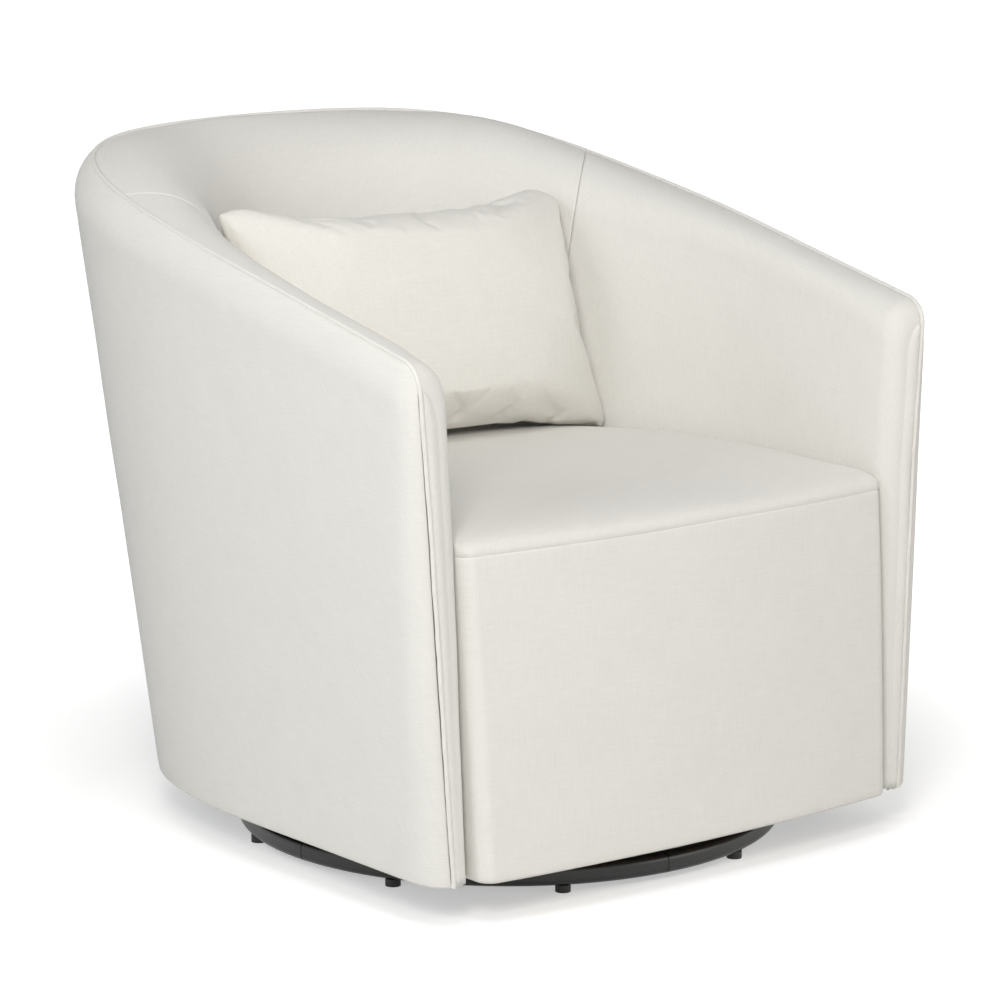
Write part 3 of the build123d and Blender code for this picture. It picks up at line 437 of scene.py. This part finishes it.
def arm_points(side):
    """Grid of one inside arm: from the seam to the front corner, round it, and across to the welt."""
    corner = 0.022
    ys = arm_path()[::-1]
    near = np.linspace(SEAM_ANGLE, SEAM_ANGLE - 0.02, 9)
    sweep = np.concatenate([near[:-1], np.linspace(near[-1], 0, 56)[:-1]])
    angle = np.concatenate([sweep, np.zeros_like(ys)])
    y = np.concatenate([np.full_like(sweep, BARREL_Y), ys])
    turned = angle if side > 0 else math.pi - angle
    cut = barrel(turned, y)
    low = blend(HEM_Z + 0.001, TUCK_Z, smooth_step((cut.y - ARM_FRONT_Y - 0.040) / 0.020))
    skin = inside_points(cut, low)
    behind = (angle > 0)[:, None] * (angle[:, None] / SEAM_ANGLE) ** 2
    skin = np.where(behind[..., None] > 0, lean_seam(skin, cut.top, side * behind), skin)
    inward = grid_normals(skin)
    middle = inward[skin.shape[0] // 2, -20]
    inward = inward if middle[0] * side > 0 else -inward
    distance = np.linalg.norm(skin - skin[:1], axis=-1)
    skin = turn_in(skin, inward, distance, SEAM_REACH, SEAM_DEPTH)
    front = skin[-1]
    share = np.clip((front[:, 2] - HEM_Z) / (cut.top[-1, 0] - HEM_Z), 0, 1)
    line_z = blend(HEM_Z, cut.top[-1, 0], share)
    line = place(cut, cut.welt_line(line_z[None]), line_z[None])[-1]
    beside = line - np.array([side * WELT_SEAT, 0, 0])
    gap = beside - front
    width = np.linalg.norm(gap, axis=-1, keepdims=True)
    way = gap / np.maximum(width, 1e-6)
    limit = np.minimum(corner, 0.6 * width)
    into = np.clip((ARM_FRONT_Y + corner - cut.y[:, :, None]) / corner, 0, 1)
    skin = skin + way[None] * (limit[None] * (1 - np.sqrt(1 - into**2)))
    share = np.linspace(0, 1, 16)[1:, None, None]
    flat = blend((front + way * limit)[None], beside[None], share)
    bulge = np.sin(math.pi * share) * np.minimum(width, 0.06)[None] * 0.05
    flat = flat - np.array([0, 1, 0]) * (FABRIC * smooth_step(share) + bulge)
    tuck = (line + np.array([0, 0.003, 0]))[None]
    points = np.concatenate([skin, flat, tuck], axis=0)
    return points + 0.0005 * wavy(points, 0.12, 5 + side)[..., None] * np.array([side, 0, 0])


def back_points():
    """Grid of the inside back, seam to seam."""
    near = np.linspace(SEAM_ANGLE, SEAM_ANGLE + 0.02, 9)[:-1]
    first = near[-1] + 0.0025
    angle = np.concatenate([near, np.linspace(first, math.pi - first, 110), math.pi - near[::-1]])
    cut = barrel(angle, np.full_like(angle, BARREL_Y))
    skin = inside_points(cut, np.full_like(cut.top, TUCK_Z))
    skin = lean_seam(skin, cut.top, ((math.pi / 2 - angle) / (math.pi / 2 - SEAM_ANGLE))[:, None])
    inward = grid_normals(skin)
    inward = inward if inward[60, -20, 1] > 0 else -inward
    distance = np.minimum(np.linalg.norm(skin - skin[:1], axis=-1), np.linalg.norm(skin - skin[-1:], axis=-1))
    skin = turn_in(skin, inward, distance, SEAM_REACH, SEAM_DEPTH)
    away = smooth_step(distance / 0.03)[..., None]
    return skin - inward * (0.0015 * wavy(skin, 0.20, 11))[..., None] * away


for side, hand in ((1, "right"), (-1, "left")):
    arm = surface(f"inside_arm_{hand}", arm_points(side), (-side, 0, 0))
    thicken(arm, FABRIC)
    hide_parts(f"arm_cover_{hand}", f"arm_pad_{hand}", f"arm_front_pad_{hand}")
    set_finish(arm, "ivory_fabric")
    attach(arm, "chair")
    print("arm", hand, len(arm.data.vertices), "points")
back = surface("inside_back", back_points(), (0, -1, 0))
thicken(back, FABRIC)
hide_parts("back_cover", "back_pad")
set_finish(back, "ivory_fabric")
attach(back, "chair")

# %% [markdown]
# Seat and front panel share one plan: straight sides, round front corners and a front that bows out a
# little. The seat closes it with half an ellipse at the back and rises to a crown. The front panel carries
# the same front down to the hem, slightly narrower there, so a slot opens beside each arm.

# %% Seat and front panel
SEAM_Z = 0.392
SEAT_HALF = 0.2956
SEAT_DEPTH = 0.3203
SEAT_FRONT_Y = -0.3125 + SWIVEL_Y
FRONT_LOW_Y = -0.337 + SWIVEL_Y
FRONT_LOW_HALF = 0.2865
FRONT_BOW = 0.015
FRONT_CORNER = 0.017
CROWN = 0.026
CROWN_DRAW = 0.150
CROWN_SIDE = 0.7
CORNER_GROWTH = 0.27


def front_line(half, y, corner, back):
    """Left side, quarter round, bowed front, quarter round and right side in plan, for columns of sizes."""
    bow = FRONT_BOW * ((half - corner) / (SEAT_HALF - FRONT_CORNER)) ** 2
    side_y = y + bow + corner
    down = np.linspace(0, 1, 16)[None]
    turn = np.linspace(0, math.pi / 2, 14)[None, 1:-1]
    across = np.linspace(-1, 1, 72)[None]
    left = (np.broadcast_to(-half, (half.shape[0], 16)), blend(back, side_y, down))
    near = (corner - half - corner * np.cos(turn), side_y - corner * np.sin(turn))
    front = ((half - corner) * across, y + bow * across**2)
    far = (half - corner + corner * np.sin(turn), side_y - corner * np.cos(turn))
    right = (np.broadcast_to(half, (half.shape[0], 16)), blend(side_y, back, down))
    pieces = (left, near, front, far, right)
    return [np.concatenate([piece[k] for piece in pieces], axis=1) for k in (0, 1)]


def seat_points():
    """Rings of the seat from its tuck over the seam and the crown to its middle."""
    share = np.linspace(0, 1, 26)[:, None]
    rise = SEAM_Z + CROWN * np.sin(math.pi / 2 * share**0.7)
    draw = CROWN_DRAW * share**1.9
    low_draw = np.array([[0.006], [0.0025], [0.0006]])
    low_z = np.array([[SEAM_Z - 0.030], [SEAM_Z - 0.006], [SEAM_Z - 0.0012]])
    z = np.concatenate([low_z, rise])
    front_in = np.concatenate([low_draw, draw])
    side_in = np.concatenate([low_draw, CROWN_DRAW * CROWN_SIDE * share**2.4])
    half = SEAT_HALF - side_in
    depth = SEAT_DEPTH - side_in
    back = np.full_like(half, BARREL_Y)
    x, y = front_line(half, SEAT_FRONT_Y + front_in, FRONT_CORNER + CORNER_GROWTH * front_in, back)
    turn = np.linspace(0, math.pi, 90)[None, 1:-1]
    x = np.concatenate([x, half * np.cos(turn)], axis=1)
    y = np.concatenate([y, BARREL_Y + depth * np.sin(turn)], axis=1)
    rings = np.stack([x, y, np.broadcast_to(z, x.shape)], axis=-1)
    middle = np.array([0.0, rings[-1, :, 1].mean(), rings[-1, 0, 2]])
    inner = np.linspace(0, 1, 16)[1:, None, None]
    plateau = blend(rings[-1][None], middle, inner) + np.array([0, 0, 0.003]) * smooth_step(inner)
    points = np.concatenate([rings, plateau])
    weight = smooth_step((points[..., 2:] - SEAM_Z) / 0.012)
    return points + np.array([0, 0, 0.0010]) * wavy(points, 0.16, 21)[..., None] * weight


def front_points():
    """Rows of the front panel from the folded hem up to the rolled seam under the seat."""
    fold = [HEM_Z + 0.001, HEM_Z, HEM_Z + 0.0012]
    rolled = [SEAM_Z - 0.0016, SEAM_Z - 0.0006, SEAM_Z - 0.0008]
    z = np.concatenate([fold, np.linspace(HEM_Z + 0.004, SEAM_Z - 0.004, 52), rolled])[:, None]
    draw = np.concatenate([[0.012, 0.003, 0.0008], np.zeros(52), [0.0004, 0.0014, 0.006]])[:, None]
    share = (z - HEM_Z) / (SEAM_Z - HEM_Z)
    belly = 0.0022 * np.sin(math.pi * np.clip(share, 0, 1)) ** 0.7
    half = blend(FRONT_LOW_HALF, SEAT_HALF, share) - draw
    y = blend(FRONT_LOW_Y, SEAT_FRONT_Y, share) + draw - belly
    back = np.full_like(z, -0.250 + SWIVEL_Y)
    x, y = front_line(half, y, np.full_like(z, FRONT_CORNER), back)
    points = np.stack([x, y, np.broadcast_to(z, x.shape)], axis=-1)
    return points + np.array([0, 0.0008, 0]) * wavy(points, 0.18, 31)[..., None]


seat = surface("seat_top", seat_points(), (0, 0, 1), close_columns=True)
merge_doubles(seat)
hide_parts("seat_cover", "seat_foam")
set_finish(seat, "ivory_fabric")
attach(seat, "chair")
front = surface("front_panel", front_points(), (0, -1, 0))
thicken(front, FABRIC)
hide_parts("front_cover", "front_pad")
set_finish(front, "ivory_fabric")
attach(front, "chair")
print("seat", len(seat.data.vertices), "front", len(front.data.vertices), "points")

# %% [markdown]
# The welt is a thin cord in its own strip of cloth. It climbs one arm front, follows the top edge all
# round, and comes down the other arm front. It is a circle carried along that path, and its radius swells
# and shrinks slightly, as a hand-fed seam does.

# %% Welt
WELT_PROUD = 0.0012


def welt_path():
    """Points along the welt: a straight climb on each arm front and the top edge between them."""
    cut = ROUND
    top = place(cut, cut.welt, cut.top)[:, 0]
    proud = np.clip((ARM_FRONT_Y + ARM_CORNER - cut.y[:, 0]) / ARM_CORNER, 0, 1)
    top[:, 1] -= WELT_PROUD * proud
    climb_z = np.linspace(HEM_Z, cut.top[0, 0], 130)[None, :-1]
    climb = place(cut, cut.welt_line(climb_z), climb_z)[0] - np.array([0, WELT_PROUD, 0])
    down = climb[::-1] * np.array([-1, 1, 1])
    return np.concatenate([climb, top, down])


def tube(path, radius, sides):
    """Circle carried along a path, squared to its tangent, with one radius per path point."""
    tangent = np.gradient(path, axis=0)
    tangent /= np.linalg.norm(tangent, axis=1, keepdims=True)
    outward = path - np.array([0, BARREL_Y, 0])
    outward[:, 2] = 0.2
    side = np.cross(tangent, outward)
    side /= np.linalg.norm(side, axis=1, keepdims=True)
    up = np.cross(side, tangent)
    turn = np.linspace(0, 2 * math.pi, sides, endpoint=False)[None, :, None]
    ring = np.cos(turn) * side[:, None] + np.sin(turn) * up[:, None]
    return path[:, None] + radius[:, None, None] * ring


WELT_PATH = welt_path()
climb_share = smooth_step((0.58 - WELT_PATH[:, 2]) / 0.05)
waver = wavy(WELT_PATH, 0.035, 41)[:, None] * np.array([[1.0, 0.6, 0.0]]) * 0.0007 * climb_share[:, None]
welt = surface("welt", tube(WELT_PATH + waver, WELT_RADIUS * (1 + 0.06 * wavy(WELT_PATH, 0.02, 42)), 10),
               (0, 0, 1), close_columns=True)
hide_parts("welt_cord")
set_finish(welt, "ivory_fabric")
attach(welt, "chair")
print("welt", len(WELT_PATH), "points along")

# %% [markdown]
# The loose pillow is a knife-edged bag filled with soft stuffing. It starts as a slim crowned bag and is
# blown up by the cloth solver, which draws the seams in and leaves the small creases that a stuffed bag
# has. A cap on each point's movement keeps it close to its solid.

# %% Pillow
PILLOW_WIDE = 0.470
PILLOW_TALL = 0.292
BAG_SPARE = 0.022
PILLOW_TILT = math.radians(21.3)
PILLOW_ROLL = math.radians(1.2)
PILLOW_AT = np.array([-0.0015, 0.1700 + SWIVEL_Y, 0.5525])
PILLOW_UP = np.array([0.0, math.sin(PILLOW_TILT), math.cos(PILLOW_TILT)])
PILLOW_OUT = np.array([0.0, -math.cos(PILLOW_TILT), math.sin(PILLOW_TILT)])


def pillow_side(front, thick):
    """One face of the bag: edges bowed in between the corners, swelling with the product of two domes."""
    a, b = np.meshgrid(np.linspace(-1, 1, 96), np.linspace(-1, 1, 62), indexing="ij")
    wide, tall = PILLOW_WIDE + 1.2 * BAG_SPARE, PILLOW_TALL + 0.8 * BAG_SPARE
    across = a * (wide / 2 - 0.010 * (1 - b**2) * np.abs(a) ** 3)
    pull = np.where(b > 0, 0.009, 0.002)
    up = b * (tall / 2 - pull * (1 - a**2) * np.abs(b) ** 3)
    ear = np.exp(-(((a - 1) / 0.10) ** 2) - ((b - 1) / 0.16) ** 2)
    blunt = np.exp(-(((a + 1) / 0.10) ** 2) - ((b - 1) / 0.16) ** 2)
    across, up = across + 0.002 * ear + 0.001 * blunt, up - 0.016 * ear - 0.007 * blunt
    across, up = (across * math.cos(PILLOW_ROLL) + up * math.sin(PILLOW_ROLL),
                  up * math.cos(PILLOW_ROLL) - across * math.sin(PILLOW_ROLL))
    dome = ((1 - a**2) * (1 - b**2)) ** 0.42
    out = front * (thick / 2 * dome + 0.0006)
    return across[..., None] * np.array([1, 0, 0]) + up[..., None] * PILLOW_UP + out[..., None] * PILLOW_OUT


def pillow_bag(thick):
    """Both faces of the bag, joined along their rims."""
    near, far = [pillow_side(front, thick) + PILLOW_AT for front in (1, -1)]
    bag = surface("pillow", near, tuple(PILLOW_OUT))
    other = surface("pillow_back", far, tuple(-PILLOW_OUT))
    work = bmesh.new()
    work.from_mesh(bag.data)
    work.from_mesh(other.data)
    bpy.data.objects.remove(other)
    bmesh.ops.remove_doubles(work, verts=work.verts, dist=0.0015)
    bmesh.ops.recalc_face_normals(work, faces=work.faces)
    work.to_mesh(bag.data)
    work.free()
    return bag


def inflate(piece, voxel, pressure, cap):
    """Remesh, blow up with the cloth solver, hold each point within a cap of its start, and keep it."""
    remesh = piece.modifiers.new("even", "REMESH")
    remesh.mode = "VOXEL"
    remesh.voxel_size = voxel
    graph = bpy.context.evaluated_depsgraph_get()
    even = bpy.data.meshes.new_from_object(piece.evaluated_get(graph))
    piece.modifiers.remove(remesh)
    piece.data = even
    rest = np.zeros(len(even.vertices) * 3, np.float32)
    even.vertices.foreach_get("co", rest)
    cloth = piece.modifiers.new("stuffing", "CLOTH")
    cloth.settings.quality = 6
    cloth.settings.mass = 0.25
    cloth.settings.tension_stiffness = 12
    cloth.settings.compression_stiffness = 12
    cloth.settings.bending_stiffness = 0.4
    cloth.settings.use_pressure = True
    cloth.settings.uniform_pressure_force = pressure
    cloth.settings.effector_weights.gravity = 0.0
    cloth.point_cache.frame_start = 1
    cloth.point_cache.frame_end = 20
    scene = bpy.context.scene
    for number in range(1, 21):
        scene.frame_set(number)
    graph = bpy.context.evaluated_depsgraph_get()
    blown = piece.evaluated_get(graph).to_mesh()
    moved = np.zeros_like(rest)
    blown.vertices.foreach_get("co", moved)
    piece.evaluated_get(graph).to_mesh_clear()
    piece.modifiers.remove(cloth)
    scene.frame_set(1)
    step = (moved - rest).reshape(-1, 3)
    size = np.linalg.norm(step, axis=1, keepdims=True)
    held = rest.reshape(-1, 3) + step * np.minimum(1.0, cap / np.maximum(size, 1e-9))
    even.vertices.foreach_set("co", np.ascontiguousarray(held, dtype=np.float32).ravel())
    even.update()
    even.shade_smooth()
    print(piece.name, "moved up to", float(size.max()), "mean", float(size.mean()))


pillow = pillow_bag(0.098)
inflate(pillow, 0.005, 4.0, 0.022)
finer = pillow.modifiers.new("finer", "SUBSURF")
finer.levels = finer.render_levels = 1
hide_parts("pillow_cover", "pillow_insert")
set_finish(pillow, "pillow_fabric")
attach(pillow, "pillow")
print("pillow", len(pillow.data.vertices), "points")

# %% [markdown]
# A thin dark cloth closes the underside. It is the bottom panel's outline in plan, cut out round the swivel
# plate, and it is stapled flat, so a flat ring that sags slightly is enough.

# %% Dust cloth


def dust_points():
    """Rings between the square cut-out and the barrel's outline, sagging a little between them."""
    low_z = 0.0517
    angle = np.linspace(0, 2 * math.pi, 240, endpoint=False)
    direction = np.stack([np.cos(angle), np.sin(angle)], axis=-1)
    square = 0.122 / np.abs(direction).max(axis=1)
    centre = np.array([0.0, SWIVEL_Y])
    behind = angle[None] < math.pi
    hem = reach(0.342, 0.468, 3.5, angle)
    outline = np.array([0, BARREL_Y]) + direction * (hem - 0.014)[:, None]
    front_y = -0.2862 + SWIVEL_Y
    steep = (front_y - BARREL_Y) / np.minimum(direction[:, 1], -1e-3)
    sideways = 0.328 / np.maximum(np.abs(direction[:, 0]), 1e-3)
    front = np.array([0, BARREL_Y]) + direction * np.minimum(steep, sideways)[:, None]
    outline = np.where(behind.T, outline, front)
    hole = centre + direction * square[:, None]
    share = np.linspace(0, 1, 14)[:, None, None]
    plan = blend(hole[None], outline[None], share)
    sag = 0.0022 * np.sin(math.pi * share[..., 0]) + 0 * plan[..., 0]
    return np.concatenate([plan, (low_z - sag)[..., None]], axis=-1)


dust = surface("dust_cloth", dust_points(), (0, 0, -1), close_columns=True)
thicken(dust, 0.0006)
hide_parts("dust_cover")
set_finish(dust, "dust_cloth")
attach(dust, "chair")
print("dust cloth", len(dust.data.vertices), "points")

# %% [markdown]
# The cloth is a fine plain weave in ivory: threads of slightly uneven thickness and shade run both ways.
# Noise that is stretched along one direction gives the slubs of the warp, and the same noise turned gives
# the weft. The weave sits on the UV map, in metres, and on object coordinates where the remesh has removed
# that map.

# %% Materials


def new_material(name):
    """Empty node material with its output and shader, and short names for adding and joining nodes."""
    finish = bpy.data.materials.new(name)
    finish.use_nodes = True
    tree = finish.node_tree
    shader = tree.nodes["Principled BSDF"]

    def add(kind, **values):
        node = tree.nodes.new(kind)
        for key, value in values.items():
            setattr(node, key, value)
        return node

    return finish, shader, add, tree.links.new


def thread_noise(add, link, source, size, detail, turn=0.0):
    """Noise whose grains have a given size, in metres, along each axis of its coordinates."""
    mapping = add("ShaderNodeMapping")
    mapping.inputs["Scale"].default_value = tuple(1 / s for s in size)
    mapping.inputs["Rotation"].default_value = (turn, 0.0, 0.0)
    link(source, mapping.inputs["Vector"])
    noise = add("ShaderNodeTexNoise")
    noise.inputs["Scale"].default_value = 1.0
    noise.inputs["Detail"].default_value = detail
    link(mapping.outputs["Vector"], noise.inputs["Vector"])
    return noise.outputs["Fac"]


def mixed(add, link, first, second, how="ADD"):
    """Sum or product of two values."""
    node = add("ShaderNodeMath", operation=how)
    link(first, node.inputs[0])
    link(second, node.inputs[1])
    return node.outputs[0]


def woven(name, dark, light, coordinates="UV", turn=0.0, sheen=0.15):
    """Plain weave: slubs both ways vary the shade, and fine threads raise the surface."""
    finish, shader, add, link = new_material(name)
    source = add("ShaderNodeTexCoord").outputs[coordinates]
    long_u = thread_noise(add, link, source, (0.030, 0.0011, 0.0011), 2.0, turn)
    long_v = thread_noise(add, link, source, (0.0011, 0.030, 0.030), 2.0, turn)
    cloud = thread_noise(add, link, source, (0.060, 0.060, 0.060), 2.0, turn)
    fine = thread_noise(add, link, source, (0.0012, 0.0012, 0.0012), 1.0, turn)
    threads = mixed(add, link, long_u, long_v)
    faint = add("ShaderNodeMath", operation="MULTIPLY")
    faint.inputs[1].default_value = 0.35
    link(cloud, faint.inputs[0])
    shade = mixed(add, link, mixed(add, link, threads, faint.outputs[0]), fine)
    ramp = add("ShaderNodeValToRGB")
    ramp.color_ramp.elements[0].position = 0.30
    ramp.color_ramp.elements[0].color = (*dark, 1.0)
    ramp.color_ramp.elements[1].position = 0.70
    ramp.color_ramp.elements[1].color = (*light, 1.0)
    level = add("ShaderNodeMath", operation="MULTIPLY")
    level.inputs[1].default_value = 0.30
    link(shade, level.inputs[0])
    link(level.outputs[0], ramp.inputs["Fac"])
    link(ramp.outputs["Color"], shader.inputs["Base Color"])
    raised = add("ShaderNodeBump")
    raised.inputs["Strength"].default_value = 0.22
    raised.inputs["Distance"].default_value = 0.0006
    link(mixed(add, link, threads, fine), raised.inputs["Height"])
    link(raised.outputs["Normal"], shader.inputs["Normal"])
    shader.inputs["Roughness"].default_value = 0.92
    shader.inputs["Specular IOR Level"].default_value = 0.2
    shader.inputs["Sheen Weight"].default_value = sheen
    shader.inputs["Sheen Roughness"].default_value = 0.6
    return finish


def grained(name, dark, light, size, roughness, bump, metallic=0.0, specular=0.5):
    """Noise of a given grain between two shades, with a bump: paint, plastic, timber, board or foam."""
    finish, shader, add, link = new_material(name)
    source = add("ShaderNodeTexCoord").outputs["Object"]
    grain = thread_noise(add, link, source, size, 4.0)
    ramp = add("ShaderNodeValToRGB")
    ramp.color_ramp.elements[0].position = 0.35
    ramp.color_ramp.elements[0].color = (*dark, 1.0)
    ramp.color_ramp.elements[1].position = 0.65
    ramp.color_ramp.elements[1].color = (*light, 1.0)
    link(grain, ramp.inputs["Fac"])
    link(ramp.outputs["Color"], shader.inputs["Base Color"])
    raised = add("ShaderNodeBump")
    raised.inputs["Strength"].default_value = bump
    raised.inputs["Distance"].default_value = 0.0004
    link(grain, raised.inputs["Height"])
    link(raised.outputs["Normal"], shader.inputs["Normal"])
    shader.inputs["Roughness"].default_value = roughness
    shader.inputs["Metallic"].default_value = metallic
    shader.inputs["Specular IOR Level"].default_value = specular
    return finish


IVORY = woven("ivory_weave", (0.70, 0.688, 0.652), (0.82, 0.807, 0.768))
PILLOW_CLOTH = woven("pillow_weave", (0.74, 0.723, 0.678), (0.86, 0.843, 0.798), "Object", PILLOW_TILT)
DUST = grained("felted_cloth", (0.010, 0.010, 0.010), (0.022, 0.022, 0.022), (0.002, 0.002, 0.002), 0.95, 0.4)
FINISHES = {
    "ivory_fabric": IVORY,
    "pillow_fabric": PILLOW_CLOTH,
    "dust_cloth": DUST,
    "foam": grained("foam", (0.78, 0.73, 0.55), (0.86, 0.82, 0.66), (0.003, 0.003, 0.003), 0.95, 0.5),
    "fibre_board": grained("fibre_board", (0.30, 0.22, 0.13), (0.38, 0.28, 0.18), (0.004, 0.004, 0.02),
                           0.9, 0.2),
    "timber": grained("timber", (0.42, 0.27, 0.14), (0.56, 0.39, 0.22), (0.09, 0.005, 0.005), 0.7, 0.2),
    "black_steel": grained("black_satin_paint", (0.006, 0.006, 0.006), (0.012, 0.012, 0.012),
                           (0.0015, 0.0015, 0.0015), 0.34, 0.06),
    "bright_steel": grained("zinc_plate", (0.52, 0.52, 0.53), (0.62, 0.62, 0.62), (0.006, 0.006, 0.006),
                            0.35, 0.05,
                            1.0),
    "black_plastic": grained("black_moulding", (0.010, 0.010, 0.010), (0.018, 0.018, 0.018),
                             (0.0008, 0.0008, 0.0008), 0.55, 0.12),
}
for piece in bpy.context.scene.objects:
    if piece.get("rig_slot"):
        piece.data.materials.clear()
        piece.data.materials.append(FINISHES[piece["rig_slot"]])
SLOTS = {row["node"]: row["material_slot"] for row in frame["record"]["subparts"]}
for name, node in frame["nodes"].items():
    node.data.materials.clear()
    node.data.materials.append(FINISHES[SLOTS[name]])
print("finishes", len(FINISHES))

# %% [markdown]
# A pale floor and large soft lamps, as in a studio. To camera rays the floor glows with painted light, weaker
# near the chair and full from 1.3 m out, so that it shows white and keeps the shadow. The lamps stay low
# enough that the ivory cloth doesn't clip.

# %% Studio
scene = bpy.context.scene
scene.view_settings.view_transform = "Standard"


def lamp(name, place_at, aim, size, watts, colour):
    """Square area lamp turned towards a point."""
    data = bpy.data.lights.new(name, "AREA")
    data.shape = "SQUARE"
    data.size = size
    data.energy = watts
    data.color = colour
    shade = bpy.data.objects.new(name, data)
    shade.location = place_at
    shade.rotation_euler = (Vector(aim) - Vector(place_at)).to_track_quat("-Z", "Y").to_euler()
    scene.collection.objects.link(shade)


lamp("key", (-2.4, -2.6, 2.3), (0, 0, 0.4), 1.0, 60.0, (1.0, 0.98, 0.94))
lamp("side", (-3.0, -0.4, 1.6), (0, 0, 0.4), 1.6, 24.0, (0.94, 0.975, 1.0))
lamp("fill", (2.0, -3.0, 1.3), (0, 0, 0.4), 2.2, 30.0, (1.0, 0.98, 0.94))
lamp("top", (-1.0, -1.2, 2.9), (0, 0, 0.4), 1.2, 20.0, (1.0, 1.0, 1.0))

world = bpy.data.worlds.new("white_room")
scene.world = world
world.use_nodes = True
links = world.node_tree.links
nodes = world.node_tree.nodes
sky = nodes["Background"]
sky.inputs["Color"].default_value = (1.0, 1.0, 1.0, 1.0)
path = nodes.new("ShaderNodeLightPath")
seen = nodes.new("ShaderNodeMath")
seen.operation = "MAXIMUM"
links.new(path.outputs["Is Camera Ray"], seen.inputs[0])
links.new(path.outputs["Is Glossy Ray"], seen.inputs[1])
through = nodes.new("ShaderNodeMath")
through.operation = "MAXIMUM"
links.new(seen.outputs[0], through.inputs[0])
links.new(path.outputs["Is Transmission Ray"], through.inputs[1])
level = nodes.new("ShaderNodeMapRange")
level.inputs["To Min"].default_value = 0.23
level.inputs["To Max"].default_value = 1.0
links.new(through.outputs[0], level.inputs["Value"])
links.new(level.outputs["Result"], sky.inputs["Strength"])

floor_grid = np.stack(np.meshgrid([-9.0, 9.0], [-9.0, 9.0], [0.0], indexing="ij"), axis=-1)[:, :, 0]
floor = surface("floor", floor_grid, (0, 0, 1))
floor_finish, floor_shader, floor_add, floor_link = new_material("pale_floor")
floor_shader.inputs["Base Color"].default_value = (0.80, 0.80, 0.80, 1.0)
floor_shader.inputs["Roughness"].default_value = 1.0
floor_shader.inputs["Specular IOR Level"].default_value = 0.0
# Painted light: the floor's glow is shown to camera rays only and rises from 0.45 near the chair to 1.0
# beyond 1.3 m.
floor_spot = floor_add("ShaderNodeTexCoord").outputs["Object"]
floor_far = floor_add("ShaderNodeVectorMath", operation="LENGTH")
floor_link(floor_spot, floor_far.inputs[0])
floor_glow = floor_add("ShaderNodeMapRange")
floor_glow.inputs["From Min"].default_value = 0.45
floor_glow.inputs["From Max"].default_value = 1.3
floor_glow.inputs["To Min"].default_value = 0.45
floor_glow.inputs["To Max"].default_value = 1.0
floor_link(floor_far.outputs["Value"], floor_glow.inputs["Value"])
floor_path = floor_add("ShaderNodeLightPath")
floor_seen = floor_add("ShaderNodeMath", operation="MAXIMUM")
floor_link(floor_path.outputs["Is Camera Ray"], floor_seen.inputs[0])
floor_link(floor_path.outputs["Is Glossy Ray"], floor_seen.inputs[1])
floor_through = floor_add("ShaderNodeMath", operation="MAXIMUM")
floor_link(floor_seen.outputs[0], floor_through.inputs[0])
floor_link(floor_path.outputs["Is Transmission Ray"], floor_through.inputs[1])
floor_level = floor_add("ShaderNodeMath", operation="MULTIPLY")
floor_link(floor_glow.outputs["Result"], floor_level.inputs[0])
floor_link(floor_through.outputs[0], floor_level.inputs[1])
floor_shader.inputs["Emission Color"].default_value = (1.0, 1.0, 1.0, 1.0)
floor_link(floor_level.outputs[0], floor_shader.inputs["Emission Strength"])
floor.data.materials.append(floor_finish)
print("studio ready")
